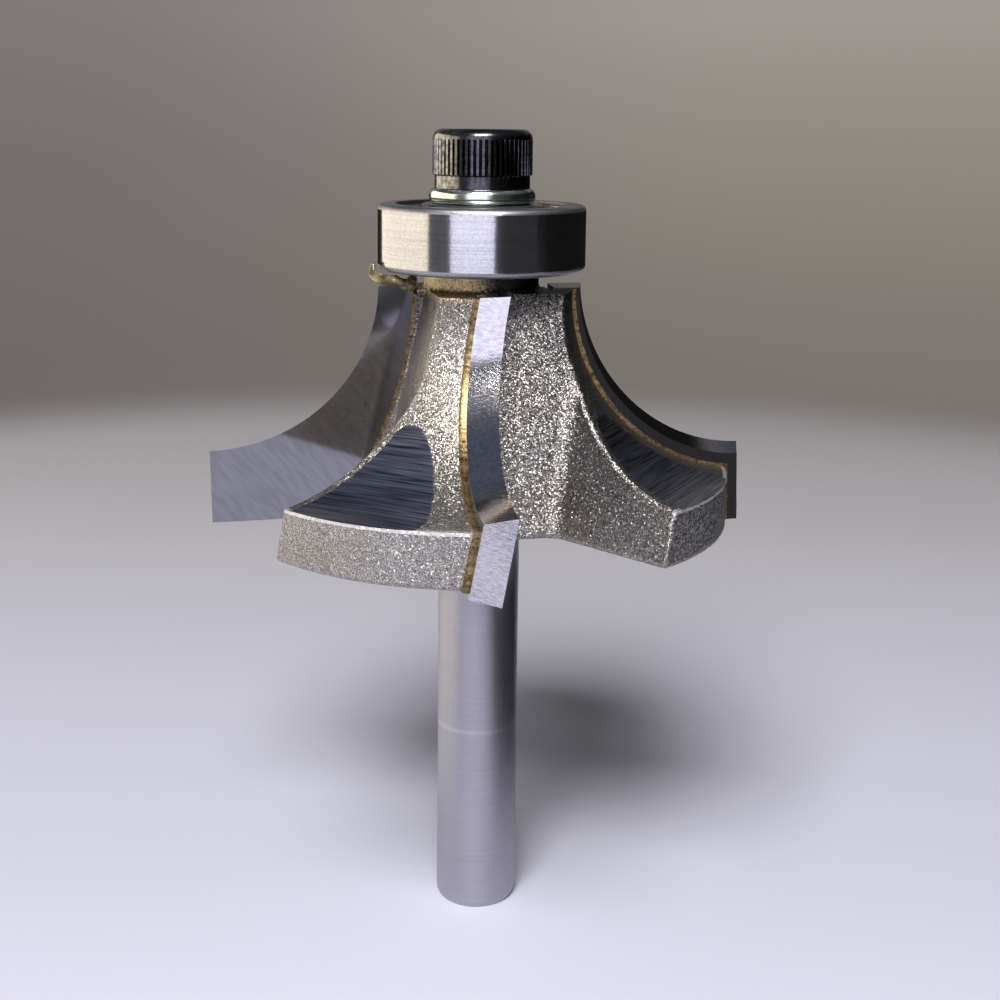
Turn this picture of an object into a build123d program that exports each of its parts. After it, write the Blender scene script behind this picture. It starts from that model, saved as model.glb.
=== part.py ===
from build123d import *
import os
from math import acos, asin, cos, degrees, pi, radians, sin, sqrt, tan

# Four-wing round-over router bit with a ball-bearing pilot.
# Millimetres and degrees, +Z up. The bit stands on the end of its shank: the origin is
# the middle of that end face, and the first wing points along +X. Seen from above the
# bit cuts counter-clockwise, so each carbide blade sits on the +Y side of its wing.

# ---------------------------------------------------------------- driving dimensions
# Shank and body, turned from one bar
shank_dia = 6.35
shank_length = 30.83
shank_end_chamfer_height = 0.43
shank_end_chamfer_width = 0.24
root_cone_dia = 9.3
root_cone_height = 1.05
body_height = 17.82
rim_dia = 38.3
rim_edge_round = 0.35
rim_ridge_round = 0.3
boss_dia = 8.8
boss_height = 1.5
boss_fillet = 0.5
spigot_length = 4.4
spigot_chamfer = 0.3

# Cutting profile, swept by the blades
profile_radius = 12.7
pilot_step = 0.1
blade_overhang_top = 0.28
blade_overhang_bottom = 0.52
body_clearance = 1.05
body_arc_drop = 0.45

# Wings and gullets
wing_count = 4
rake_hook = 0.401
shear_angle = 10.26
gullet_floor_radius = 7.95
gullet_floor_slope = 11.5
gullet_floor_width = 6.75
gullet_back_angle = 32.6
gullet_corner_radius = 1.5
wing_edge_round = 0.3
tool_run_out = 1.0
tool_overreach = 4.0

# Ground facet on the back of each wing's profile
facet_radius = 11.4
facet_bearing = 40.5
facet_reach = 19.54
facet_drop = 2.74
facet_length = 18.0

# Carbide blades and the braze under them
blade_thickness = 2.04
blade_relief = 0.5
blade_top_relief = 0.15
blade_bottom_relief = 0.4
blade_inner_radius = 5.35
blade_inner_curve = 32.0
braze_thickness = 0.3
braze_bead = 0.2

# Pilot bearing
bearing_dia = 15.875
bearing_bore = 6.35
bearing_width = 4.978
bearing_corner = 0.45
bore_chamfer = 0.3
inner_ring_corner = 0.15
ball_dia = 2.381
ball_pitch_dia = 11.1
ball_count = 8
ball_gap = 0.02
race_conformity = 0.525
outer_land_dia = 12.8
inner_ring_dia = 9.3
shield_seat_dia = 13.5
shield_seat_depth = 0.74
shield_lip_dia = 13.2
shield_lip_height = 0.2
shield_thickness = 0.2
shield_step = 0.3
shield_step_gap = 0.64
shield_step_run = 0.2
shield_edge_gap = 0.05
shield_bore_gap = 0.15
snap_wire_size = 0.3
snap_wire_gap = 30.0
snap_wire_play = 0.005
cage_inner_dia = 10.2
cage_outer_dia = 11.9
cage_thickness = 0.2
cage_ball_gap = 0.06
bore_fit = 0.01

# Washer and cap screw
washer_dia = 8.1
washer_bore = 5.1
washer_thickness = 1.2
washer_edge_round = 0.5
screw_dia = 4.8
screw_length = 12.7
screw_tip_chamfer = 0.5
thread_fit = 0.02
tap_run_out = 1.4
drill_point_angle = 118.0
head_dia = 7.6
head_height = 4.4
head_round = 0.58
collar_dia = 7.25
collar_height = 0.9
socket_flats = 3.97
socket_depth = 2.4
socket_chamfer = 0.25
knurl_count = 56
knurl_depth = 0.14

# ---------------------------------------------------------------- sizes worked out
shank_radius = shank_dia / 2
body_bottom = shank_length + root_cone_height
body_top = body_bottom + body_height
seat_height = body_top + boss_height
spigot_top = seat_height + spigot_length
spigot_radius = bearing_bore / 2 - bore_fit

cut_bottom = body_bottom - blade_overhang_bottom
cut_top = body_top + blade_overhang_top
arc_centre = bearing_dia / 2 + pilot_step + profile_radius
body_arc = profile_radius + body_clearance
shear = radians(shear_angle)

bearing_mid = seat_height + bearing_width / 2
bearing_top = seat_height + bearing_width
pitch_radius = ball_pitch_dia / 2
race_radius = ball_dia * race_conformity

washer_top = bearing_top + washer_thickness
screw_tip = washer_top - screw_length
head_top = washer_top + head_height
hole_bottom = screw_tip - tap_run_out
hole_radius = screw_dia / 2 + thread_fit

tool_reach = rim_dia / 2 + tool_overreach


def profile_point(angle, offset):
    """Radius and height of the round-over at an angle down from its top, moved
    into the metal by an offset."""
    arc = profile_radius + offset
    return arc_centre - arc * cos(radians(angle)), cut_top - arc * sin(radians(angle))


def body_point(angle):
    """Radius and height of the body's own arc at an angle down from its top."""
    radius, height = profile_point(angle, body_clearance)
    return radius, height - body_arc_drop


def blade_plane(wing, depth=0.0):
    """Plane of a blade's face, or one parallel to it a depth further back: local X
    points outward and local Y up the shear slope."""
    turn = 360 / wing_count * wing
    normal = Vector(0, -cos(shear), sin(shear))
    origin = Vector(0, rake_hook, cut_top) + normal * depth
    return Plane(
        origin=origin.rotate(Axis.Z, turn),
        x_dir=Vector(1, 0, 0).rotate(Axis.Z, turn),
        z_dir=normal.rotate(Axis.Z, turn),
    )


def on_blade_plane(radius, height, depth=0.0):
    """Local point of a blade plane that lies at a radius from the axis and a height."""
    slope = (height - cut_top - depth * sin(shear)) / cos(shear)
    lead = rake_hook + slope * sin(shear) - depth * cos(shear)
    return sqrt(radius**2 - lead**2), slope


def blade_inner_edge(slope, gap=0.0):
    """Local point of a blade's inner edge, or of an edge a gap further in."""
    curve = blade_inner_curve + gap
    return blade_inner_radius + blade_inner_curve - sqrt(curve**2 - slope**2), slope


def profile_outline(offset, depth, top, bottom, land, drop=0.0, gap=0.0):
    """Blade-shaped outline on a blade plane, between two heights: the profile arc,
    which may be dropped, and the land outside, and the curved inner edge inside."""
    arc = profile_radius + offset
    start = degrees(asin((cut_top - drop - top) / arc))
    end = degrees(acos((arc_centre - land) / arc))
    arc_ends = []
    for angle in (start, (start + end) / 2, end):
        radius, height = profile_point(angle, offset)
        arc_ends.append(on_blade_plane(radius, height - drop, depth))
    upper, middle, lower = arc_ends
    foot = on_blade_plane(land, bottom, depth)
    inner_foot = blade_inner_edge(foot[1], gap)
    inner_middle = blade_inner_edge((foot[1] + upper[1]) / 2, gap)
    inner_top = blade_inner_edge(upper[1], gap)
    with BuildLine() as outline:
        ThreePointArc(upper, middle, lower)
        Line(lower, foot)
        Line(foot, inner_foot)
        ThreePointArc(inner_foot, inner_middle, inner_top)
        Line(inner_top, upper)
    return outline.line


def inner_prism_outline(gap, low, high):
    """Outline of everything outside a blade's inner edge, between two heights."""
    inner_foot = blade_inner_edge(low, gap)
    inner_middle = blade_inner_edge((low + high) / 2, gap)
    inner_top = blade_inner_edge(high, gap)
    with BuildLine() as outline:
        ThreePointArc(inner_foot, inner_middle, inner_top)
        Polyline(inner_top, (tool_reach, high), (tool_reach, low), inner_foot)
    return outline.line


def gullet_outline(height):
    """Gullet section at a height: the blade's face, the floor, and the back of the
    next wing, which opens outward."""
    floor = gullet_floor_radius - (height - body_bottom) * tan(radians(gullet_floor_slope))
    lead = rake_hook + (height - cut_top) * tan(shear)
    back = lead + gullet_floor_width
    mouth = back + (tool_reach - floor) * tan(radians(gullet_back_angle))
    return [(floor, lead), (floor, back), (tool_reach, mouth), (tool_reach, lead)]


def trailing_point(wing, radius, height):
    """Point of a wing's trailing face at a radius from the axis and a height."""
    floor, back = gullet_outline(height)[1]
    across = cos(radians(gullet_back_angle))
    along = sin(radians(gullet_back_angle))
    nearest = floor * across + back * along
    reach = sqrt(nearest**2 - floor**2 - back**2 + radius**2) - nearest
    point = Vector(floor + reach * across, back + reach * along, height)
    return point.rotate(Axis.Z, 360 / wing_count * wing)


# ---------------------------------------------------------------- tools that cut the body
gullet_low = body_bottom - tool_run_out
gullet_high = body_top + boss_fillet

with BuildPart() as gullet_tool:
    for level in (gullet_low, gullet_high):
        with BuildSketch(Plane.XY.offset(level)):
            with BuildLine():
                Polyline(*gullet_outline(level), close=True)
            make_face()
    loft(ruled=True)
    lower_corner = Vector(*gullet_outline(gullet_low)[1], gullet_low)
    upper_corner = Vector(*gullet_outline(gullet_high)[1], gullet_high)
    corner_edge = gullet_tool.edges().sort_by_distance((lower_corner + upper_corner) * 0.5)[0]
    fillet(corner_edge, radius=gullet_corner_radius)

pocket_low = (cut_bottom - cut_top) / cos(shear) - tool_overreach
pocket_high = tool_overreach

with BuildPart() as pocket_tool:
    with BuildSketch(blade_plane(0)):
        with BuildLine():
            add(inner_prism_outline(braze_thickness, pocket_low, pocket_high))
        make_face()
    extrude(amount=blade_thickness + braze_thickness)

facet_turn = radians(-facet_bearing)
facet_plane = Plane(
    origin=(facet_reach * cos(facet_turn), facet_reach * sin(facet_turn), cut_top - facet_drop),
    x_dir=(0, 0, 1),
    z_dir=(-sin(facet_turn), cos(facet_turn), 0),
)

with BuildPart() as facet_tool:
    with BuildSketch(facet_plane):
        Circle(facet_radius)
    extrude(amount=facet_length / 2, both=True)

# ---------------------------------------------------------------- cutter body
rim_radius = rim_dia / 2
rim_arc_angle = degrees(acos((arc_centre - rim_radius) / body_arc))
rim_ridge = body_point(rim_arc_angle)
wing_middle = (gullet_floor_radius + rim_radius) / 2
wing_middle_angle = degrees(acos((arc_centre - wing_middle) / body_arc))
neck_arc_angle = degrees(asin((cut_top - body_arc_drop - body_top) / body_arc))
boss_radius = boss_dia / 2

with BuildPart() as cutter_body:
    with BuildSketch(Plane.XZ) as body_section:
        with BuildLine():
            Polyline(
                (0, 0),
                (shank_radius - shank_end_chamfer_width, 0),
                (shank_radius, shank_end_chamfer_height),
                (shank_radius, shank_length),
                (root_cone_dia / 2, body_bottom),
                (rim_radius - rim_edge_round, body_bottom),
            )
            RadiusArc(
                (rim_radius - rim_edge_round, body_bottom),
                (rim_radius, body_bottom + rim_edge_round),
                -rim_edge_round,
            )
            Line((rim_radius, body_bottom + rim_edge_round), rim_ridge)
            ThreePointArc(
                rim_ridge,
                body_point((rim_arc_angle + neck_arc_angle) / 2),
                body_point(neck_arc_angle),
            )
            Line(body_point(neck_arc_angle), (boss_radius + boss_fillet, body_top))
            RadiusArc(
                (boss_radius + boss_fillet, body_top),
                (boss_radius, body_top + boss_fillet),
                boss_fillet,
            )
            Polyline(
                (boss_radius, body_top + boss_fillet),
                (boss_radius, seat_height),
                (spigot_radius, seat_height),
                (spigot_radius, spigot_top - spigot_chamfer),
                (spigot_radius - spigot_chamfer, spigot_top),
                (hole_radius, spigot_top),
                (hole_radius, hole_bottom),
                (0, hole_bottom - hole_radius / tan(radians(drill_point_angle / 2))),
                (0, 0),
            )
        make_face()
        ridge_corner = Vector(rim_ridge[0], 0, rim_ridge[1])
        fillet(body_section.vertices().sort_by_distance(ridge_corner)[0], radius=rim_ridge_round)
    revolve(axis=Axis.Z)
    with PolarLocations(0, wing_count):
        add(gullet_tool.part, mode=Mode.SUBTRACT)

    # The wings' trailing edges are rounded over before the pockets and facets are cut.
    edge_points = []
    for wing in range(wing_count):
        edge_points.append(trailing_point(wing, *body_point(wing_middle_angle)))
        edge_points.append(trailing_point(wing, rim_radius, (body_bottom + rim_ridge[1]) / 2))
    trailing_edges = [cutter_body.edges().sort_by_distance(point)[0] for point in edge_points]
    fillet(trailing_edges, radius=wing_edge_round)

    for tool in (pocket_tool, facet_tool):
        with PolarLocations(0, wing_count):
            add(tool.part, mode=Mode.SUBTRACT)

# ---------------------------------------------------------------- carbide blades
carbide_blades = []
braze_layers = []
for wing in range(wing_count):
    with BuildPart() as carbide_blade:
        with BuildSketch(blade_plane(wing)):
            with BuildLine():
                add(profile_outline(0, 0, cut_top, cut_bottom, arc_centre))
            make_face()
        with BuildSketch(blade_plane(wing, blade_thickness)):
            with BuildLine():
                add(profile_outline(
                    blade_relief,
                    blade_thickness,
                    cut_top - blade_top_relief,
                    cut_bottom + blade_bottom_relief,
                    arc_centre - blade_relief,
                ))
            make_face()
        loft(ruled=True)
    carbide_blades.append(carbide_blade)

    # The braze fills the pocket behind the blade and inside its inner edge, and stands
    # a little proud of the steel as a bead.
    with BuildPart() as braze_layer:
        with BuildSketch(blade_plane(wing)):
            with BuildLine():
                add(profile_outline(
                    body_clearance - braze_bead,
                    blade_thickness,
                    body_top,
                    body_bottom,
                    rim_radius + braze_bead,
                    body_arc_drop,
                    braze_thickness,
                ))
            make_face()
        extrude(amount=blade_thickness + braze_thickness)
        with BuildSketch(blade_plane(wing)):
            with BuildLine():
                add(inner_prism_outline(0, pocket_low, pocket_high))
            make_face()
        extrude(amount=blade_thickness, mode=Mode.SUBTRACT)
    braze_layers.append(braze_layer)

# ---------------------------------------------------------------- pilot bearing
half_width = bearing_width / 2
outer_radius = bearing_dia / 2
outer_land = outer_land_dia / 2
inner_land = inner_ring_dia / 2
outer_race_centre = pitch_radius + ball_dia / 2 + ball_gap - race_radius
inner_race_centre = pitch_radius - ball_dia / 2 - ball_gap + race_radius
seat_face = half_width - shield_seat_depth
seat_radius = shield_seat_dia / 2
lip_radius = shield_lip_dia / 2
lip_face = half_width - shield_lip_height
bearing_plane = Plane(origin=(0, 0, bearing_mid), x_dir=(1, 0, 0), z_dir=(0, -1, 0))

with BuildPart() as outer_ring:
    with BuildSketch(bearing_plane) as outer_section:
        with BuildLine():
            Polyline(
                (outer_land, -seat_face),
                (seat_radius, -seat_face),
                (seat_radius, -lip_face),
                (lip_radius, -lip_face),
                (lip_radius, -half_width),
                (outer_radius, -half_width),
                (outer_radius, half_width),
                (lip_radius, half_width),
                (lip_radius, lip_face),
                (seat_radius, lip_face),
                (seat_radius, seat_face),
                (outer_land, seat_face),
                close=True,
            )
        make_face()
        fillet(outer_section.vertices().group_by(Axis.X)[-1], radius=bearing_corner)
        with Locations((outer_race_centre, 0)):
            Circle(race_radius, mode=Mode.SUBTRACT)
    revolve(axis=Axis.Z)

with BuildPart() as inner_ring:
    with BuildSketch(bearing_plane) as inner_section:
        with Locations(((bearing_bore / 2 + inner_land) / 2, 0)):
            Rectangle(inner_land - bearing_bore / 2, bearing_width)
        chamfer(inner_section.vertices().group_by(Axis.X)[0], length=bore_chamfer)
        chamfer(inner_section.vertices().group_by(Axis.X)[-1], length=inner_ring_corner)
        with Locations((inner_race_centre, 0)):
            Circle(race_radius, mode=Mode.SUBTRACT)
    revolve(axis=Axis.Z)

balls = []
for index in range(ball_count):
    turn = 360 / ball_count * index
    centre = Vector(pitch_radius, 0, bearing_mid).rotate(Axis.Z, turn)
    with BuildPart() as ball:
        with BuildSketch(Plane(origin=centre, x_dir=(1, 0, 0), z_dir=(0, -1, 0))):
            Circle(ball_dia / 2)
            with Locations((-ball_dia / 2, 0)):
                Rectangle(ball_dia, 2 * ball_dia, mode=Mode.SUBTRACT)
        revolve(axis=Axis(centre, (0, 0, 1)))
    balls.append(ball)

# Each half of the ribbon cage is a flat ring that arches over the balls.
pocket_radius = ball_dia / 2 + cage_ball_gap
middle_plane = Plane.XY.offset(bearing_mid)
cage_halves = []
for side in (-1, 1):
    with BuildPart() as cage_half:
        with BuildSketch(middle_plane):
            Circle(cage_outer_dia / 2)
        extrude(amount=side * cage_thickness)
        with Locations(middle_plane):
            with PolarLocations(pitch_radius, ball_count):
                Cylinder(pocket_radius + cage_thickness, ball_dia, rotation=(0, 90, 0))
        with BuildSketch(middle_plane):
            Circle(cage_outer_dia / 2)
            Circle(cage_inner_dia / 2, mode=Mode.SUBTRACT)
        extrude(amount=side * bearing_width, mode=Mode.INTERSECT)
        with Locations(middle_plane):
            with PolarLocations(pitch_radius, ball_count):
                Cylinder(pocket_radius, ball_dia, rotation=(0, 90, 0), mode=Mode.SUBTRACT)
    cage_halves.append(cage_half)

# Each shield is a stamped disc with a step, held by a split wire under the ring's lip.
shield_outer = seat_radius - shield_edge_gap
shield_inner = inner_land + shield_bore_gap
shield_step_radius = seat_radius - snap_wire_play - snap_wire_size - shield_step_gap
shields = []
snap_wires = []
for side in (-1, 1):
    inner_face = side * seat_face
    outer_face = side * (seat_face + shield_thickness)
    raised = side * shield_step
    with BuildPart() as shield:
        with BuildSketch(bearing_plane):
            with BuildLine():
                Polyline(
                    (shield_outer, inner_face),
                    (shield_step_radius, inner_face),
                    (shield_step_radius - shield_step_run, inner_face + raised),
                    (shield_inner, inner_face + raised),
                    (shield_inner, outer_face + raised),
                    (shield_step_radius - shield_step_run, outer_face + raised),
                    (shield_step_radius, outer_face),
                    (shield_outer, outer_face),
                    close=True,
                )
            make_face()
        revolve(axis=Axis.Z)
    shields.append(shield)

    wire_middle = (
        seat_radius - snap_wire_play - snap_wire_size / 2,
        outer_face + side * snap_wire_size / 2,
    )
    with BuildPart() as snap_wire:
        with BuildSketch(bearing_plane):
            with Locations(wire_middle):
                Rectangle(snap_wire_size, snap_wire_size)
        revolve(axis=Axis.Z, revolution_arc=360 - snap_wire_gap)
    snap_wires.append(snap_wire)

# ---------------------------------------------------------------- washer
with BuildPart() as washer:
    with BuildSketch(Plane.XZ) as washer_section:
        with Locations(((washer_dia + washer_bore) / 4, (bearing_top + washer_top) / 2)):
            Rectangle((washer_dia - washer_bore) / 2, washer_thickness)
        fillet(washer_section.vertices().group_by(Axis.X)[-1], radius=washer_edge_round)
    revolve(axis=Axis.Z)

# ---------------------------------------------------------------- cap screw
core_radius = collar_dia / 2
socket_corner = socket_flats / 2 / cos(radians(30))
collar_top = washer_top + collar_height
knurl_top = head_top - head_round

with BuildPart() as cap_screw:
    with BuildSketch(Plane.XZ):
        with BuildLine():
            Polyline(
                (0, screw_tip),
                (screw_dia / 2 - screw_tip_chamfer, screw_tip),
                (screw_dia / 2, screw_tip + screw_tip_chamfer),
                (screw_dia / 2, washer_top),
                (core_radius, washer_top),
                (core_radius, knurl_top),
            )
            RadiusArc((core_radius, knurl_top), (core_radius - head_round, head_top), -head_round)
            Polyline((core_radius - head_round, head_top), (0, head_top), (0, screw_tip))
        make_face()
    revolve(axis=Axis.Z)
    # the knurl is rolled on: its ridges stand out from the plain collar below them
    with BuildSketch(Plane.XY.offset(collar_top)):
        with BuildLine():
            flank_points = []
            for index in range(2 * knurl_count):
                radius = head_dia / 2 - knurl_depth * (index % 2)
                angle = pi * index / knurl_count
                flank_points.append((radius * cos(angle), radius * sin(angle)))
            Polyline(flank_points, close=True)
        make_face()
    extrude(amount=knurl_top - collar_top)
    with BuildSketch(Plane.XY.offset(head_top)):
        RegularPolygon(socket_corner, 6)
    extrude(amount=-socket_depth, mode=Mode.SUBTRACT)
    with BuildSketch(Plane.XY.offset(head_top)):
        Circle(socket_corner + socket_chamfer)
    extrude(amount=-2 * socket_chamfer, taper=45, mode=Mode.SUBTRACT)

# ---------------------------------------------------------------- write every piece
os.makedirs("parts", exist_ok=True)

single_pieces = {
    "cutter_body": cutter_body,
    "bearing_outer_ring": outer_ring,
    "bearing_inner_ring": inner_ring,
    "washer": washer,
    "cap_screw": cap_screw,
}
for name, piece in single_pieces.items():
    piece.part.label = name
    export_step(piece.part, f"parts/{name}.step")

numbered_pieces = {
    "carbide_blade": carbide_blades,
    "braze_layer": braze_layers,
    "bearing_ball": balls,
}
for name, pieces in numbered_pieces.items():
    for number, piece in enumerate(pieces, start=1):
        piece.part.label = f"{name}_{number}"
        export_step(piece.part, f"parts/{name}_{number}.step")

paired_pieces = {
    "bearing_cage": cage_halves,
    "bearing_shield": shields,
    "snap_wire": snap_wires,
}
for name, pieces in paired_pieces.items():
    for place, piece in zip(("lower", "upper"), pieces):
        piece.part.label = f"{name}_{place}"
        export_step(piece.part, f"parts/{name}_{place}.step")
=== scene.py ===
"""Looks of a four-wing round-over router bit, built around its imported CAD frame.

Every length is in metres unless its name ends in _mm, and the node patterns work in
millimetres. The bit stands on the end of its shank at the origin, +Z up, with its first
wing along +X. Angles are in degrees unless a comment says otherwise.
"""
import logging
import math
from dataclasses import dataclass
from enum import Enum

import bmesh
import bpy
from mathutils import Matrix, Vector, noise


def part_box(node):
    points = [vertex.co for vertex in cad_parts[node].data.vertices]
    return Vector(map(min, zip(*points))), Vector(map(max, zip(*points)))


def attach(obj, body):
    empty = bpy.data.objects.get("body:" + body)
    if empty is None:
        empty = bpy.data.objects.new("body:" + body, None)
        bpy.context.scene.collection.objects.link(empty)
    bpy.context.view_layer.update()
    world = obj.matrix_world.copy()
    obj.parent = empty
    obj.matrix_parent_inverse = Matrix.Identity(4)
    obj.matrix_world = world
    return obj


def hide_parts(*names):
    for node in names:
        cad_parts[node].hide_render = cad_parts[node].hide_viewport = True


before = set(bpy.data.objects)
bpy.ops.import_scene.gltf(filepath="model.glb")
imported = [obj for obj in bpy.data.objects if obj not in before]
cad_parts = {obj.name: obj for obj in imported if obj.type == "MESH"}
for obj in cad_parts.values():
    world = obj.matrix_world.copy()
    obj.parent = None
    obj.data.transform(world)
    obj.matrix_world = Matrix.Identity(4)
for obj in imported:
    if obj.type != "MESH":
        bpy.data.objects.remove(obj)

LOG = logging.getLogger("router_bit")
MM = 0.001

# Sizes of the bit that its finishes follow
SHANK_LENGTH_MM = 30.83
BODY_BOTTOM_MM = 31.88
BODY_TOP_MM = 49.70
CUT_TOP_MM = 49.98
WINGS = 4
BLADE_SHEAR = 10.26
BLADE_HOOK_MM = 0.401

# Sockets that nodes give by number: of a colour Mix, then of a Map Range
SHARE, FIRST_COLOUR, SECOND_COLOUR, MIXED = 0, 6, 7, 2
FROM_LOW, FROM_HIGH, TO_LOW, TO_HIGH = 1, 2, 3, 4

Tree = bpy.types.NodeTree
Socket = bpy.types.NodeSocket
Ramp = tuple[tuple[float, str], ...]


class Grain(Enum):
    """Which way the marks of a grinding wheel or a lathe tool run."""

    AROUND = "around the axis"
    ALONG = "along local Y"
    DIAGONAL = "across a face at a slant"


class RingShape(Enum):
    """What gives a ring of the screw its outline."""

    ROUND = "a circle"
    KNURLED = "a circle cut by the valleys of the knurl"
    MOUTH = "the hexagon where the socket's chamfer meets it"
    HEXAGON = "the hexagon of the socket"


# ------------------------------------------------------------------ small tools
def linear(hex_colour: str) -> tuple[float, float, float, float]:
    """Turns an sRGB hex colour into the linear colour that a shader takes.

    Args:
        hex_colour: Six hex digits, such as "c8c4bc".

    Returns:
        Linear red, green, blue and an alpha of 1.
    """
    parts = [int(hex_colour[i:i + 2], 16) / 255 for i in (0, 2, 4)]
    made = [c / 12.92 if c <= 0.04045 else ((c + 0.055) / 1.055) ** 2.4 for c in parts]
    return (*made, 1.0)


def add_node(tree: Tree, kind: str, inputs: dict | None = None, **settings: object) -> bpy.types.Node:
    """Adds a node, sets it up and links it.

    Args:
        tree: The node tree that takes it.
        kind: Blender's name for the node's type.
        inputs: Sockets to link, or values to set, by input name or number.
        **settings: Properties of the node itself.

    Returns:
        The new node.
    """
    made = tree.nodes.new(kind)
    for name, value in settings.items():
        setattr(made, name, value)
    for key, value in (inputs or {}).items():
        if isinstance(value, bpy.types.NodeSocket):
            tree.links.new(value, made.inputs[key])
        else:
            made.inputs[key].default_value = value
    return made


def set_stops(ramp: bpy.types.Node, colours: Ramp) -> None:
    """Gives a colour ramp its stops.

    Args:
        ramp: The Color Ramp node.
        colours: Each stop's place from 0 to 1 and its sRGB hex colour.
    """
    elements = ramp.color_ramp.elements
    elements.remove(elements[-1])
    elements[0].position = colours[0][0]
    elements[0].color = linear(colours[0][1])
    for place, colour in colours[1:]:
        elements.new(place).color = linear(colour)


def new_material(name: str) -> tuple[bpy.types.Material, Tree]:
    """Makes an empty material.

    Args:
        name: Its name.

    Returns:
        The material and its node tree.
    """
    made = bpy.data.materials.new(name)
    made.use_nodes = True
    made.node_tree.nodes.clear()
    return made, made.node_tree


def new_object(name: str, mesh: bmesh.types.BMesh, material: bpy.types.Material,
               smooth_angle: float | None = 30.0) -> bpy.types.Object:
    """Makes an object at the origin from a finished bmesh, and frees the bmesh.

    Args:
        name: The piece's name.
        mesh: The shape, in metres and in place.
        material: Its finish.
        smooth_angle: Edges sharper than this stay sharp; None leaves faces flat.

    Returns:
        The new object, linked to the scene.
    """
    bmesh.ops.recalc_face_normals(mesh, faces=mesh.faces)
    if smooth_angle is not None:
        limit = math.radians(smooth_angle)
        for face in mesh.faces:
            face.smooth = True
        for edge in mesh.edges:
            edge.smooth = not (edge.is_manifold and edge.calc_face_angle(0.0) > limit)
    data = bpy.data.meshes.new(name)
    mesh.to_mesh(data)
    mesh.free()
    data.materials.append(material)
    made = bpy.data.objects.new(name, data)
    bpy.context.scene.collection.objects.link(made)
    LOG.info("%s: %d faces", name, len(data.polygons))
    return made


def grow(mesh: bmesh.types.BMesh, ring: list[bmesh.types.BMEdge]
         ) -> tuple[list[bmesh.types.BMVert], list[bmesh.types.BMEdge]]:
    """Extrudes a ring of edges, for the caller to move to its place.

    Args:
        mesh: The bmesh that holds the ring.
        ring: Its edges.

    Returns:
        The points and the edges of the new ring.
    """
    grown = bmesh.ops.extrude_edge_only(mesh, edges=ring)["geom"]
    return ([part for part in grown if isinstance(part, bmesh.types.BMVert)],
            [part for part in grown if isinstance(part, bmesh.types.BMEdge)])


def hide(piece: bpy.types.Object, *rays: str) -> None:
    """Hides an object from some kinds of rays.

    Args:
        piece: The object.
        *rays: The kinds, such as "camera" or "glossy".
    """
    for ray in rays:
        setattr(piece, f"visible_{ray}", False)


# ------------------------------------------------------------------ studio
@dataclass(frozen=True)
class Softbox:
    """Rectangular softbox that faces the bit.

    Its bearing is measured from the camera's direction, positive to its left, and its
    width and height are angles, as the bit sees them. Matt and glossy surfaces see it at
    strengths of their own, as they would if a part of it were screened off from the
    floor. A strength is the radiance that a mirror would show.
    """

    name: str
    bearing: float
    elevation: float
    width: float
    height: float
    colour: str
    matt: float = 0.0
    gloss: float = 0.0


@dataclass(frozen=True)
class Card:
    """Card that stands on the floor around the bit, where only reflections show it. It glows with a painted
    reflection: dark cards of shade around the bit, a pale one of a bright patch.

    Its bearing is measured as a softbox's, its distance from the bit's axis, and its
    colour is what a mirror would show.
    """

    name: str
    bearing: float
    distance: float
    width: float
    height: float
    colour: str


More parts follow.
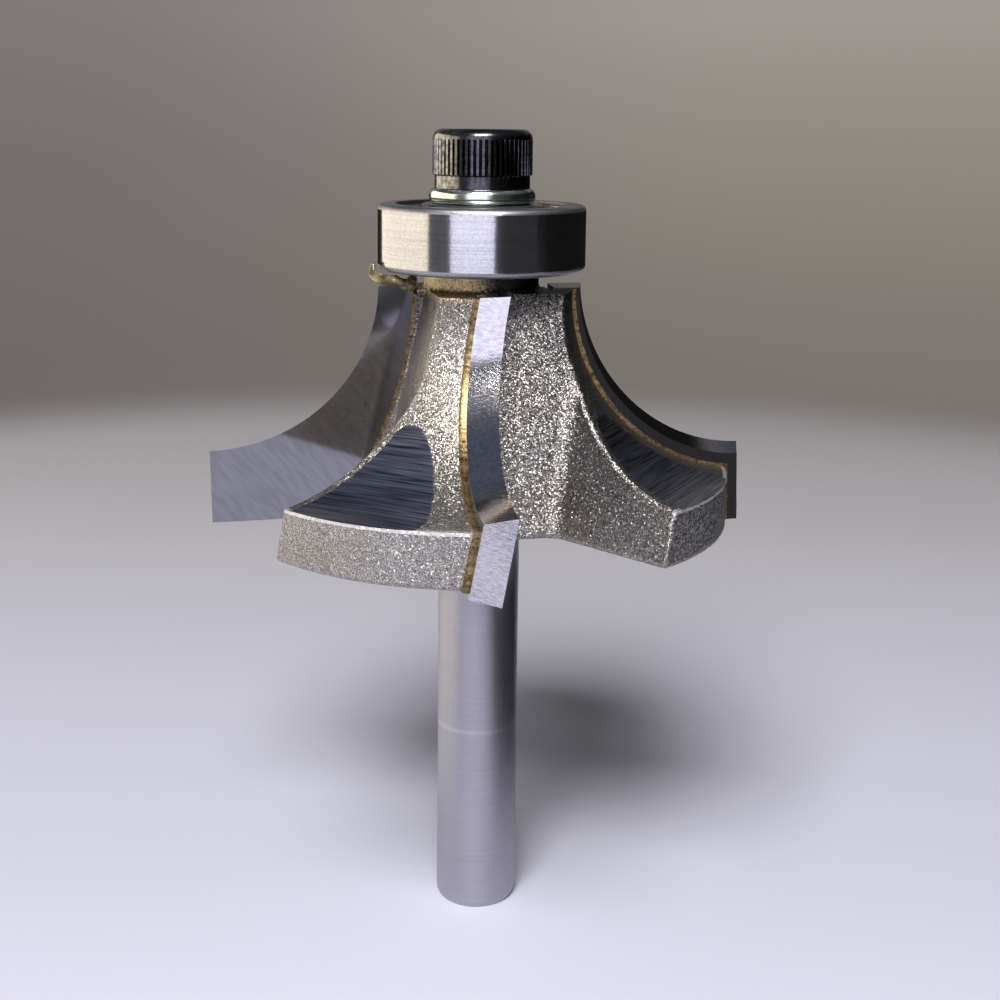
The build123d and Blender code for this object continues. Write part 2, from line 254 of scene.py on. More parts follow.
@dataclass
class Studio:
    """Pale floor, backdrop, soft lights, reflected cards and the camera.

    The camera's turn, pitch, yaw and roll are in radians. The paper goes from paper_near
    in front of the bit to paper_far behind it, painted darker behind as painted shade, and
    past dusk_start it blends into the dusk of the backdrop, a glow of painted light and
    shade whose ramps run up the height of dusk_height.
    """

    camera_distance: float = 106.70 * MM
    camera_height: float = 61.93 * MM
    camera_turn: float = 0.218
    camera_pitch: float = 0.1583
    camera_yaw: float = 0.014
    camera_roll: float = 0.012
    lens_mm: float = 50.25
    sensor_mm: float = 36.0
    shift_up: float = -0.15
    nearest: float = 0.005
    aim: Vector = Vector((0, 0, 0.035))
    floor_radius: float = 0.24
    wall_radius: float = 0.42
    wall_height: float = 0.25
    circle_sides: int = 96
    cove_steps: int = 12
    matt_distance: float = 0.62
    gloss_distance: float = 0.56
    card_gap: float = 0.5 * MM
    paper_near: float = -0.04
    paper_far: float = 0.24
    # Painted shade: the paper darkens from the front of the bit to the back, as the light falls off
    paper_shade_ramp: Ramp = ((0.0, "dadcee"), (0.15, "cccedf"), (0.3, "c6c7d6"), (0.55, "bdbbc1"),
                           (1.0, "afacaf"))
    dusk_start: float = 0.178
    dusk_full: float = 0.235
    dusk_height: float = 0.10
    dusk_across: tuple[float, float] = (-0.16, 0.10)
    # Painted light and shade of the glowing backdrop, lighter higher up
    dusk_left: Ramp = ((0.0, "6e6867"), (0.25, "726c6b"), (0.5, "756f6f"), (1.0, "807a7a"))
    dusk_right: Ramp = ((0.0, "7b7670"), (0.25, "868079"), (0.5, "8e8881"), (1.0, "a09892"))
    room_low: str = "1c1b1b"
    room_high: str = "5c6270"
    room_rise: tuple[float, float] = (0.3, 0.85)
    softboxes: tuple[Softbox, ...] = (
        Softbox("key", 13, 48, 28, 26, "fffcfa", matt=22.0),
        Softbox("key_glint", 3, 53, 26, 20, "fffaf2", gloss=28.0),
        Softbox("front_window", 10, 13, 49, 41, "f0eeff", matt=0.35, gloss=1.9),
        Softbox("corner", 47, 11, 24, 42, "d8d4d6", gloss=0.16),
        Softbox("left_window", 100.5, 9, 83, 42, "fff3dc", matt=0.6, gloss=1.8),
        Softbox("back_wall", 180, 18, 120, 34, "b8b2ac", gloss=0.3),
    )
    # Cards that glow in reflections only: painted reflections of the shade around the bit, and a pale one by
    # the shank
    cards: tuple[Card, ...] = (
        Card("dark_front_right", -38.5, 0.085, 0.067, 0.10, "3c3a3b"),
        Card("dark_right", -114, 0.10, 0.18, 0.10, "1a1919"),
        Card("dark_front_low", -6, 0.067, 0.11, 0.015, "605e60"),
        Card("dark_by_shank", -88, 0.021, 0.05, 0.02, "2c2b2e"),
        Card("pale_by_shank", 98, 0.025, 0.035, 0.02, "fffaf4"),
    )

    def heading(self, bearing: float) -> Vector:
        """Gives the level direction at a bearing."""
        turn = math.radians(bearing) + self.camera_turn
        return Vector((-math.sin(turn), -math.cos(turn), 0))

    def camera(self) -> None:
        """Sets the scene's camera."""
        turn = self.camera_turn + self.camera_yaw
        level = Vector((math.sin(turn), math.cos(turn), 0))
        forward = level * math.cos(self.camera_pitch) - Vector((0, 0, math.sin(self.camera_pitch)))
        right = Vector((math.cos(turn), -math.sin(turn), 0))
        up = right.cross(forward)
        tilt = self.camera_roll
        tilted_right = right * math.cos(tilt) + up * math.sin(tilt)
        tilted_up = up * math.cos(tilt) - right * math.sin(tilt)
        data = bpy.data.cameras.new("camera")
        data.lens = self.lens_mm
        data.sensor_width = self.sensor_mm
        data.shift_y = self.shift_up
        data.clip_start = self.nearest
        made = bpy.data.objects.new("camera", data)
        spot = self.heading(0) * self.camera_distance + Vector((0, 0, self.camera_height))
        rows = Matrix((tilted_right, tilted_up, -forward)).transposed().to_4x4()
        made.matrix_world = Matrix.Translation(spot) @ rows
        bpy.context.scene.collection.objects.link(made)
        bpy.context.scene.camera = made

    def hang(self, box: Softbox, surface: str, radiance: float, distance: float) -> None:
        """Hangs the half of a softbox that one kind of surface sees.

        Args:
            box: The softbox.
            surface: "matt" or "gloss".
            radiance: Its strength for that surface.
            distance: Metres from the aim.
        """
        width, height = (2 * distance * math.tan(math.radians(angle / 2))
                         for angle in (box.width, box.height))
        rise = math.radians(box.elevation)
        flat = self.heading(box.bearing) * (distance * math.cos(rise))
        spot = self.aim + flat + Vector((0, 0, distance * math.sin(rise)))
        turned = (self.aim - spot).to_track_quat("-Z", "Y").to_matrix().to_4x4()
        data = bpy.data.lights.new(f"{box.name}_{surface}", "AREA")
        data.shape = "RECTANGLE"
        data.size, data.size_y = width, height
        data.color = linear(box.colour)[:3]
        data.energy = radiance * math.pi * width * height
        made = bpy.data.objects.new(data.name, data)
        made.matrix_world = Matrix.Translation(spot) @ turned
        made.visible_diffuse = surface == "matt"
        made.visible_glossy = surface == "gloss"
        bpy.context.scene.collection.objects.link(made)

    def light(self, box: Softbox) -> None:
        """Lights a softbox, its matt half further out, where it doesn't hide the glossy half.

        Args:
            box: The softbox.
        """
        if box.matt:
            self.hang(box, "matt", box.matt, self.matt_distance)
        if box.gloss:
            self.hang(box, "gloss", box.gloss, self.gloss_distance)

    def world(self) -> None:
        """Fills the room with a dim grey that is a little brighter overhead."""
        world = bpy.data.worlds.new("room")
        world.use_nodes = True
        tree = world.node_tree
        tree.nodes.clear()
        spot = add_node(tree, "ShaderNodeTexCoord")
        axes = add_node(tree, "ShaderNodeSeparateXYZ", {0: spot.outputs["Generated"]})
        height = add_node(tree, "ShaderNodeMapRange", {0: axes.outputs[2], FROM_LOW: self.room_rise[0],
                                                       FROM_HIGH: self.room_rise[1]})
        tint = add_node(tree, "ShaderNodeMix",
                        {SHARE: height.outputs[0], FIRST_COLOUR: linear(self.room_low),
                         SECOND_COLOUR: linear(self.room_high)}, data_type="RGBA")
        glow = add_node(tree, "ShaderNodeBackground", {"Color": tint.outputs[MIXED], "Strength": 1.0})
        add_node(tree, "ShaderNodeOutputWorld", {"Surface": glow.outputs["Background"]})
        world.cycles_visibility.diffuse = False
        bpy.context.scene.world = world

    def dusk(self, tree: Tree, spot: Socket) -> bpy.types.Node:
        """Adds the grey glow of the backdrop, painted light and shade: darker on the left and warmer on the
        right.

        Args:
            tree: The node tree.
            spot: The point.

        Returns:
            The shader node, which glows by itself.
        """
        axes = add_node(tree, "ShaderNodeSeparateXYZ", {0: spot})
        height = add_node(tree, "ShaderNodeMapRange",
                          {0: axes.outputs[2], FROM_LOW: 0.0, FROM_HIGH: self.dusk_height})
        sides = []
        for colours in (self.dusk_left, self.dusk_right):
            side = add_node(tree, "ShaderNodeValToRGB", {0: height.outputs[0]})
            set_stops(side, colours)
            sides.append(side.outputs[0])
        aside = add_node(tree, "ShaderNodeVectorMath", {0: spot, 1: self.heading(-90)},
                         operation="DOT_PRODUCT")
        across = add_node(tree, "ShaderNodeMapRange",
                          {0: aside.outputs["Value"], FROM_LOW: self.dusk_across[0],
                           FROM_HIGH: self.dusk_across[1]}, interpolation_type="SMOOTHSTEP")
        tint = add_node(tree, "ShaderNodeMix",
                        {SHARE: across.outputs[0], FIRST_COLOUR: sides[0], SECOND_COLOUR: sides[1]},
                        data_type="RGBA")
        return add_node(tree, "ShaderNodeEmission", {0: tint.outputs[MIXED], 1: 1.0})

    def paper(self) -> bpy.types.Material:
        """Makes the matt paper of floor and backdrop: pale in front, painted shade behind, then dusk.

        Returns:
            The material.
        """
        made, tree = new_material("matt_paper_sweep")
        spot = add_node(tree, "ShaderNodeTexCoord").outputs["Object"]
        behind = add_node(tree, "ShaderNodeVectorMath", {0: spot, 1: -self.heading(0)},
                          operation="DOT_PRODUCT")
        depth = add_node(tree, "ShaderNodeMapRange",
                         {0: behind.outputs["Value"], FROM_LOW: self.paper_near,
                          FROM_HIGH: self.paper_far})
        # Painted shade: darker further behind the bit
        near = add_node(tree, "ShaderNodeValToRGB", {0: depth.outputs[0]})
        set_stops(near, self.paper_shade_ramp)
        sheet = add_node(tree, "ShaderNodeBsdfDiffuse", {"Color": near.outputs[0]})
        far = add_node(tree, "ShaderNodeMapRange",
                       {0: axis_distance(tree, spot), FROM_LOW: self.dusk_start,
                        FROM_HIGH: self.dusk_full}, interpolation_type="SMOOTHSTEP")
        mixed = add_node(tree, "ShaderNodeMixShader",
                         {0: far.outputs[0], 1: sheet.outputs[0], 2: self.dusk(tree, spot).outputs[0]})
        add_node(tree, "ShaderNodeOutputMaterial", {0: mixed.outputs[0]})
        return made

    def sweep(self) -> None:
        """Builds the floor, and the wall that curves up from its rim."""
        paper = self.paper()
        floor = bmesh.new()
        bmesh.ops.create_circle(floor, cap_ends=True, segments=self.circle_sides, radius=self.floor_radius)
        new_object("floor", floor, paper)
        wall = bmesh.new()
        bmesh.ops.create_circle(wall, cap_ends=False, segments=self.circle_sides, radius=self.floor_radius)
        ring = wall.edges[:]
        cove = self.wall_radius - self.floor_radius
        for step in range(1, self.cove_steps + 1):
            angle = math.radians(90 * step / self.cove_steps)
            rim, ring = grow(wall, ring)
            for vert in rim:
                vert.co.xy = vert.co.xy.normalized() * (self.floor_radius + cove * math.sin(angle))
                vert.co.z = cove * (1 - math.cos(angle))
        rim, ring = grow(wall, ring)
        bmesh.ops.translate(wall, vec=(0, 0, self.wall_height), verts=rim)
        backdrop = new_object("backdrop", wall, paper)
        hide(backdrop, "diffuse", "glossy", "shadow", "transmission")

    def stand(self, card: Card) -> None:
        """Stands a card on the floor, turned to the bit.

        Args:
            card: The card.
        """
        glowing, tree = new_material(card.name)
        glow = add_node(tree, "ShaderNodeEmission", {0: linear(card.colour), 1: 1.0})
        add_node(tree, "ShaderNodeOutputMaterial", {0: glow.outputs[0]})
        sheet = bmesh.new()
        bmesh.ops.create_grid(sheet, x_segments=1, y_segments=1, size=0.5)
        bmesh.ops.scale(sheet, vec=(card.width, card.height, 1.0), verts=sheet.verts)
        bmesh.ops.rotate(sheet, matrix=Matrix.Rotation(math.radians(90), 3, "X"), verts=sheet.verts)
        way = self.heading(card.bearing)
        turn = math.atan2(way.x, -way.y)
        bmesh.ops.rotate(sheet, matrix=Matrix.Rotation(turn, 3, "Z"), verts=sheet.verts)
        spot = way * card.distance + Vector((0, 0, card.height / 2 + self.card_gap))
        bmesh.ops.translate(sheet, vec=spot, verts=sheet.verts)
        made = new_object(card.name, sheet, glowing, None)
        hide(made, "camera", "diffuse", "shadow", "transmission")

    def build(self) -> None:
        """Builds the whole studio."""
        bpy.context.scene.view_settings.view_transform = "Standard"
        self.sweep()
        self.world()
        for box in self.softboxes:
            self.light(box)
        for card in self.cards:
            self.stand(card)
        self.camera()


# ------------------------------------------------------------------ patterns
def millimetres(tree: Tree) -> Socket:
    """Gives the Object coordinates in millimetres.

    Args:
        tree: The node tree.

    Returns:
        The point that is shaded.
    """
    spot = add_node(tree, "ShaderNodeTexCoord")
    return add_node(tree, "ShaderNodeVectorMath", {0: spot.outputs["Object"], "Scale": 1 / MM},
                    operation="SCALE").outputs[0]


def axis_distance(tree: Tree, spot: Socket) -> Socket:
    """Measures how far a point lies from the bit's axis.

    Args:
        tree: The node tree.
        spot: The point.

    Returns:
        The distance, in the point's own unit.
    """
    level = add_node(tree, "ShaderNodeVectorMath", {0: spot, 1: (1.0, 1.0, 0.0)}, operation="MULTIPLY")
    return add_node(tree, "ShaderNodeVectorMath", {0: level.outputs[0]},
                    operation="LENGTH").outputs["Value"]


def wing_frame(tree: Tree, spot: Socket, lag: float = 0.0) -> Socket:
    """Turns each point into the frame of its own wing, so one pattern serves them all.

    Args:
        tree: The node tree.
        spot: The point, in millimetres.
        lag: Degrees by which the frame's X axis trails the wing.

    Returns:
        The point with X out along the wing, Y ahead of it and Z up.
    """
    axes = add_node(tree, "ShaderNodeSeparateXYZ", {0: spot})
    bearing = add_node(tree, "ShaderNodeMath", {0: axes.outputs[1], 1: axes.outputs[0]},
                       operation="ARCTAN2")
    pitch = 2 * math.pi / WINGS
    shifted = add_node(tree, "ShaderNodeMath", {0: bearing.outputs[0], 1: pitch / 2 + math.radians(lag)})
    whole = add_node(tree, "ShaderNodeMath", {0: shifted.outputs[0], 1: pitch}, operation="SNAP")
    turn = add_node(tree, "ShaderNodeMath", {0: math.radians(lag), 1: whole.outputs[0]},
                    operation="SUBTRACT")
    return add_node(tree, "ShaderNodeVectorRotate", {"Vector": spot, "Angle": turn.outputs[0]},
                    rotation_type="Z_AXIS").outputs[0]


def marks(tree: Tree, spot: Socket, run: Grain, fine_mm: float, long_mm: float,
          detail: float = 2.0) -> Socket:
    """Draws the fine parallel marks that a grinding wheel or a lathe tool leaves.

    Args:
        tree: The node tree.
        spot: The point, in millimetres.
        run: The way the marks run.
        fine_mm: Width of a mark.
        long_mm: Length of a mark.
        detail: How many finer octaves ride on it.

    Returns:
        The marks' height, from 0 to 1.
    """
    slant = math.radians(52)
    fine, along = 1 / fine_mm, 1 / long_mm
    scale = {Grain.AROUND: (along, along, fine), Grain.ALONG: (fine, along, fine),
             Grain.DIAGONAL: (along, fine, fine)}[run]
    if run is Grain.DIAGONAL:
        spot = add_node(tree, "ShaderNodeVectorRotate", {"Vector": spot, "Angle": slant},
                        rotation_type="Y_AXIS").outputs[0]
    stretched = add_node(tree, "ShaderNodeVectorMath", {0: spot, 1: scale}, operation="MULTIPLY")
    return add_node(tree, "ShaderNodeTexNoise",
                    {"Vector": stretched.outputs[0], "Scale": 1.0, "Detail": detail, "Roughness": 0.6}
                    ).outputs["Fac"]


def towards(tree: Tree, spot: Socket, bearing: float, start: float, full: float) -> Socket:
    """Marks the side of the bit that faces a bearing.

    Args:
        tree: The node tree.
        spot: The point, in millimetres.
        bearing: Degrees from +X, counter-clockwise seen from above.
        start: Cosine of the angle away from it at which the mark begins.
        full: Cosine at which it is whole.

    Returns:
        The mark, from 0 to 1.
    """
    level = add_node(tree, "ShaderNodeVectorMath", {0: spot, 1: (1.0, 1.0, 0.0)}, operation="MULTIPLY")
    unit = add_node(tree, "ShaderNodeVectorMath", {0: level.outputs[0]}, operation="NORMALIZE")
    turn = math.radians(bearing)
    share = add_node(tree, "ShaderNodeVectorMath",
                     {0: unit.outputs[0], 1: (math.cos(turn), math.sin(turn), 0.0)},
                     operation="DOT_PRODUCT")
    return add_node(tree, "ShaderNodeMapRange",
                    {0: share.outputs["Value"], FROM_LOW: start, FROM_HIGH: full},
                    interpolation_type="SMOOTHSTEP").outputs[0]


def finish_metal(tree: Tree, colour: Socket | tuple, roughness: float, normal: Socket,
                 anisotropy: float = 0.0) -> bpy.types.Node:
    """Adds the metallic shader that every metal here ends in.

    Args:
        tree: The node tree.
        colour: Its reflectance, linked or as a linear colour.
        roughness: Its roughness.
        normal: Its bumped normal.
        anisotropy: How far its gloss is drawn out across marks that run around the axis.

    Returns:
        The shader node.
    """
    inputs = {"Base Color": colour, "Metallic": 1.0, "Roughness": roughness, "Normal": normal}
    if anisotropy:
        quarter_turn = 0.25
        inputs["Anisotropic"] = anisotropy
        inputs["Anisotropic Rotation"] = quarter_turn
        inputs["Tangent"] = add_node(tree, "ShaderNodeTangent", direction_type="RADIAL", axis="Z").outputs[0]
    return add_node(tree, "ShaderNodeBsdfPrincipled", inputs)


# ------------------------------------------------------------------ finishes
@dataclass(frozen=True)
class GroundShank:
    """Shank of the body, ground: soft upright bands of light, with faint turns and a clamp mark.

    The wheel's turns are finer than the camera can show, so they are drawn turn_mm wide.
    """

    dark: str = "a3a2ab"
    light: str = "b4b3bb"
    roughness: float = 0.42
    anisotropy: float = 0.5
    turn_mm: float = 0.12
    turn_length_mm: float = 6.0
    scratch_mm: float = 0.35
    scratch_length_mm: float = 3.0
    depth_mm: float = 0.0012
    clamp_height_mm: float = 14.9
    clamp_edge_mm: tuple[float, float] = (0.05, 0.3)
    clamp_mark: str = "d8d6da"
    clamp_strength: float = 0.35

    def skin(self, tree: Tree, spot: Socket) -> bpy.types.Node:
        """Adds the shader.

        Args:
            tree: The node tree.
            spot: The point, in millimetres.

        Returns:
            The shader node.
        """
        turns = marks(tree, spot, Grain.AROUND, self.turn_mm, self.turn_length_mm)
        scratches = marks(tree, spot, Grain.ALONG, self.scratch_mm, self.scratch_length_mm, 1.0)
        wave = add_node(tree, "ShaderNodeMath", {0: turns, 1: scratches})
        bump = add_node(tree, "ShaderNodeBump", {"Height": wave.outputs[0], "Distance": self.depth_mm * MM})
        tint = add_node(tree, "ShaderNodeMix",
                        {SHARE: turns, FIRST_COLOUR: linear(self.dark), SECOND_COLOUR: linear(self.light)},
                        data_type="RGBA")
        axes = add_node(tree, "ShaderNodeSeparateXYZ", {0: spot})
        above = add_node(tree, "ShaderNodeMath", {0: axes.outputs[2], 1: self.clamp_height_mm},
                         operation="SUBTRACT")
        near = add_node(tree, "ShaderNodeMath", {0: above.outputs[0]}, operation="ABSOLUTE")
        mark = add_node(tree, "ShaderNodeMapRange",
                        {0: near.outputs[0], FROM_LOW: self.clamp_edge_mm[0],
                         FROM_HIGH: self.clamp_edge_mm[1], TO_LOW: self.clamp_strength, TO_HIGH: 0.0})
        marked = add_node(tree, "ShaderNodeMix",
                          {SHARE: mark.outputs[0], FIRST_COLOUR: tint.outputs[MIXED],
                           SECOND_COLOUR: linear(self.clamp_mark)}, data_type="RGBA")
        return finish_metal(tree, marked.outputs[MIXED], self.roughness, bump.outputs[0], self.anisotropy)


@dataclass(frozen=True)
class GroundFacet:
    """Ground facets of the body: blue-black, with pale streaks where the wheel ran.

    A facet is a piece of a cylinder across its wing, and stops a bare strip short of the
    wing's trailing face. Its points are in a frame that trails the wing by the lag.
    """

    dark: str = "3c3e48"
    middle: str = "9a9eb0"
    streak: str = "c8c8d0"
    roughness: float = 0.3
    mark_mm: float = 0.16
    mark_length_mm: float = 5.0
    depth_mm: float = 0.012
    lag: float = 40.5
    radius_mm: float = 11.4
    axis_mm: tuple[float, float, float] = (19.54, 0.0, CUT_TOP_MM - 2.74)
    half_length_mm: float = 9.0
    edge_mm: float = 0.012
    bare_strip_mm: float = 0.75
    gullet_back_angle: float = 32.6
    gullet_floor_slope: float = 11.5
    gullet_floor_mm: float = 7.95
    gullet_width_mm: float = 6.75

    def skin(self, tree: Tree, spot: Socket) -> bpy.types.Node:
        """Adds the shader.

        Args:
            tree: The node tree.
            spot: The point, in the facet's frame.

        Returns:
            The shader node.
        """
        lines = marks(tree, spot, Grain.ALONG, self.mark_mm, self.mark_length_mm, 3.0)
        bump = add_node(tree, "ShaderNodeBump", {"Height": lines, "Distance": self.depth_mm * MM})
        tint = add_node(tree, "ShaderNodeValToRGB", {0: lines})
        set_stops(tint, ((0.3, self.dark), (0.55, self.middle), (0.72, self.streak)))
        return finish_metal(tree, tint.outputs[0], self.roughness, bump.outputs[0])

    def trailing_plane(self) -> tuple[Vector, float]:
        """Works out where the wing's trailing face lies, in the facet's frame.

        Returns:
            The slope whose product with a point, added to the second value, gives the
            level distance in millimetres from the trailing face into the wing.
        """
        back, floor = math.radians(self.gullet_back_angle), math.radians(self.gullet_floor_slope)
        shear = math.radians(BLADE_SHEAR)
        climb = -math.sin(back) * math.tan(floor) - math.cos(back) * math.tan(shear)
        slope = Vector((-math.sin(back), math.cos(back), climb))
        drop = (math.sin(back) * (self.gullet_floor_mm + BODY_BOTTOM_MM * math.tan(floor))
                - math.cos(back) * (BLADE_HOOK_MM + self.gullet_width_mm - CUT_TOP_MM * math.tan(shear)))
        to_gullet = math.radians(self.lag - 360 / WINGS)
        return Matrix.Rotation(to_gullet, 3, "Z") @ slope, drop

    def mask(self, tree: Tree, spot: Socket) -> Socket:
        """Marks where the facets are.

        Args:
            tree: The node tree.
            spot: The point, in the facet's frame.

        Returns:
            1 on a facet, 0 elsewhere.
        """
        offset = add_node(tree, "ShaderNodeVectorMath", {0: spot, 1: self.axis_mm}, operation="SUBTRACT")
        parts = add_node(tree, "ShaderNodeSeparateXYZ", {0: offset.outputs[0]})
        level = add_node(tree, "ShaderNodeCombineXYZ", {0: parts.outputs[0], 2: parts.outputs[2]})
        reach = add_node(tree, "ShaderNodeVectorMath", {0: level.outputs[0]}, operation="LENGTH")
        cut = add_node(tree, "ShaderNodeMath",
                       {0: reach.outputs["Value"], 1: self.radius_mm + self.edge_mm}, operation="LESS_THAN")
        along = add_node(tree, "ShaderNodeMath", {0: parts.outputs[1]}, operation="ABSOLUTE")
        within = add_node(tree, "ShaderNodeMath", {0: along.outputs[0], 1: self.half_length_mm},
                          operation="LESS_THAN")
        slope, drop = self.trailing_plane()
        inside = add_node(tree, "ShaderNodeVectorMath", {0: spot, 1: slope}, operation="DOT_PRODUCT")
        gate = add_node(tree, "ShaderNodeMath", {0: inside.outputs["Value"], 1: self.bare_strip_mm - drop},
                        operation="GREATER_THAN")
        ends = add_node(tree, "ShaderNodeMath", {0: within.outputs[0], 1: gate.outputs[0]},
                        operation="MULTIPLY")
        return add_node(tree, "ShaderNodeMath", {0: cut.outputs[0], 1: ends.outputs[0]},
                        operation="MULTIPLY").outputs[0]


@dataclass(frozen=True)
class BlastedSteel:
    """Skin of the body, grit blasted: a hard sparkle of lit peaks and dark pits.

    Every dent of the grit faces its own way. A real dent is about 0.05 mm wide, too fine
    to show, so dents are drawn dent_mm wide. Baked oil stains the neck. Painted shade and
    oil darken the side away from the lamps, a painted shadow and grime the band under the
    bearing, and soot and painted shade the neck's far side. The upper rim of each wing has
    a painted highlight.
    """

    dent_mm: float = 0.085
    dent_depth_mm: float = 0.03
    tilt: float = 0.72
    pit: str = "6b6866"
    skin_colour: str = "9f9c9a"
    peak: str = "d3d0cd"
    roughness: float = 0.35
    warm: str = "e2d6c2"
    patch_mm: float = 6.25
    # Painted shade with oil: the side facing away from lit_side is darker
    lit_side: float = 205.0
    shade_and_oil: float = 0.62
    # Painted shadow of the bearing, with grime, over the top of the body
    shadow_and_grime_run_mm: float = 5.5
    shadow_and_grime_shade: float = 0.5
    baked_oil: str = "d2bd94"
    # Soot and painted shade on the neck's side away from the lamps
    soot_and_shade: str = "171412"
    neck_mm: tuple[float, float] = (-0.5, 0.3)
    neck_share: float = 0.85
    # Painted highlight along the upper rim of each wing: a pale, rougher skin
    painted_glint: str = "e6e3e0"
    painted_glint_roughness: float = 0.45
    painted_glint_radius_mm: float = 18.85
    painted_glint_height_mm: float = 35.62

    def dents(self, tree: Tree, spot: Socket) -> Socket:
        """Tips the surface at random, another way in each dent.

        Args:
            tree: The node tree.
            spot: The point, in millimetres.

        Returns:
            The tipped normal.
        """
        cells = add_node(tree, "ShaderNodeTexVoronoi", {"Vector": spot, "Scale": 1 / self.dent_mm})
        centred = add_node(tree, "ShaderNodeVectorMath",
                           {0: cells.outputs["Color"], 1: (0.5, 0.5, 0.5)}, operation="SUBTRACT")
        tilt = add_node(tree, "ShaderNodeVectorMath", {0: centred.outputs[0], "Scale": self.tilt},
                        operation="SCALE")
        surface = add_node(tree, "ShaderNodeNewGeometry")
        tilted = add_node(tree, "ShaderNodeVectorMath",
                          {0: surface.outputs["Normal"], 1: tilt.outputs[0]})
        return add_node(tree, "ShaderNodeVectorMath", {0: tilted.outputs[0]},
                        operation="NORMALIZE").outputs[0]

    def steel(self, tree: Tree, spot: Socket, grit: Socket) -> Socket:
        """Colours the steel from dark pits to pale peaks, warmer in broad patches.

        Args:
            tree: The node tree.
            spot: The point, in millimetres.
            grit: The height of the surface, from 0 to 1.

        Returns:
            The colour.
        """
        tint = add_node(tree, "ShaderNodeValToRGB", {0: grit})
        set_stops(tint, ((0.35, self.pit), (0.5, self.skin_colour), (0.65, self.peak)))
        patches = add_node(tree, "ShaderNodeTexNoise",
                           {"Vector": spot, "Scale": 1 / self.patch_mm, "Detail": 3.0})
        warmth = add_node(tree, "ShaderNodeMapRange",
                          {0: patches.outputs["Fac"], FROM_LOW: 0.45, FROM_HIGH: 0.7, TO_HIGH: 0.4})
        return add_node(tree, "ShaderNodeMix",
                        {SHARE: warmth.outputs[0], FIRST_COLOUR: tint.outputs[0],
                         SECOND_COLOUR: linear(self.warm)},
                        data_type="RGBA", blend_type="MULTIPLY").outputs[MIXED]

    def grime_and_shade(self, tree: Tree, spot: Socket, clean: Socket) -> Socket:
        """Lays oil and baked stains over the steel with painted shade: darker on the side away from the
        lamps, a painted shadow under the bearing, and darkest around the neck, where soot and painted shade
        darken its far side.

        Args:
            tree: The node tree.
            spot: The point, in millimetres.
            clean: The colour of the clean steel.

        Returns:
            The colour.
        """
        axes = add_node(tree, "ShaderNodeSeparateXYZ", {0: spot})
        # Painted shade and oil: darker on the side away from the lamps
        shade_and_oil = add_node(tree, "ShaderNodeMapRange",
                        {0: towards(tree, spot, self.lit_side, -1.0, 0.6), TO_LOW: self.shade_and_oil,
                         TO_HIGH: 1.0})
        # Painted shadow of the bearing with grime: darker towards the body's top
        under = add_node(tree, "ShaderNodeMapRange",
                         {0: axes.outputs[2], FROM_LOW: BODY_TOP_MM - self.shadow_and_grime_run_mm,
                          FROM_HIGH: BODY_TOP_MM, TO_LOW: 1.0, TO_HIGH: self.shadow_and_grime_shade})
        shade = add_node(tree, "ShaderNodeMath", {0: shade_and_oil.outputs[0], 1: under.outputs[0]},
                         operation="MULTIPLY")
        shaded = add_node(tree, "ShaderNodeVectorMath", {0: clean, "Scale": shade.outputs[0]},
                          operation="SCALE")
        # The neck: baked oil on the lit side, soot and painted shade on the far side
        neck_colour = add_node(tree, "ShaderNodeMix",
                         {SHARE: towards(tree, spot, self.lit_side, 0.35, 0.8),
                          FIRST_COLOUR: linear(self.soot_and_shade), SECOND_COLOUR: linear(self.baked_oil)},
                         data_type="RGBA")
        neck = add_node(tree, "ShaderNodeMapRange",
                        {0: axes.outputs[2], FROM_LOW: BODY_TOP_MM + self.neck_mm[0],
                         FROM_HIGH: BODY_TOP_MM + self.neck_mm[1], TO_HIGH: self.neck_share})
        return add_node(tree, "ShaderNodeMix",
                        {SHARE: neck.outputs[0], FIRST_COLOUR: shaded.outputs[0],
                         SECOND_COLOUR: neck_colour.outputs[MIXED]}, data_type="RGBA").outputs[MIXED]

    def painted_rim_glint(self, tree: Tree, spot: Socket) -> Socket:
        """Marks the upper rim of the wings, where a highlight is painted.

        Args:
            tree: The node tree.
            spot: The point, in millimetres.

        Returns:
            1 on the rim, 0 elsewhere.
        """
        axes = add_node(tree, "ShaderNodeSeparateXYZ", {0: spot})
        outer = add_node(tree, "ShaderNodeMath", {0: axis_distance(tree, spot), 1: self.painted_glint_radius_mm},
                         operation="GREATER_THAN")
        upper = add_node(tree, "ShaderNodeMath", {0: axes.outputs[2], 1: self.painted_glint_height_mm},
                         operation="GREATER_THAN")
        return add_node(tree, "ShaderNodeMath", {0: outer.outputs[0], 1: upper.outputs[0]},
                        operation="MULTIPLY").outputs[0]

    def skin(self, tree: Tree, spot: Socket) -> bpy.types.Node:
        """Adds the shader.

        Args:
            tree: The node tree.
            spot: The point, in millimetres.

        Returns:
            The shader node.
        """
        grit = add_node(tree, "ShaderNodeTexNoise",
                        {"Vector": spot, "Scale": 1 / self.dent_mm, "Detail": 2.0, "Roughness": 0.55}
                        ).outputs["Fac"]
        facing = self.dents(tree, spot)
        bump = add_node(tree, "ShaderNodeBump",
                        {"Height": grit, "Distance": self.dent_depth_mm * MM, "Normal": facing})
        grimed_and_shaded = self.grime_and_shade(tree, spot, self.steel(tree, spot, grit))
        whole = finish_metal(tree, grimed_and_shaded, self.roughness, bump.outputs[0])
        # Painted highlight on the upper rim of each wing
        painted_glint = finish_metal(tree, linear(self.painted_glint), self.painted_glint_roughness, facing)
        return add_node(tree, "ShaderNodeMixShader",
                        {0: self.painted_rim_glint(tree, spot), 1: whole.outputs[0], 2: painted_glint.outputs[0]})


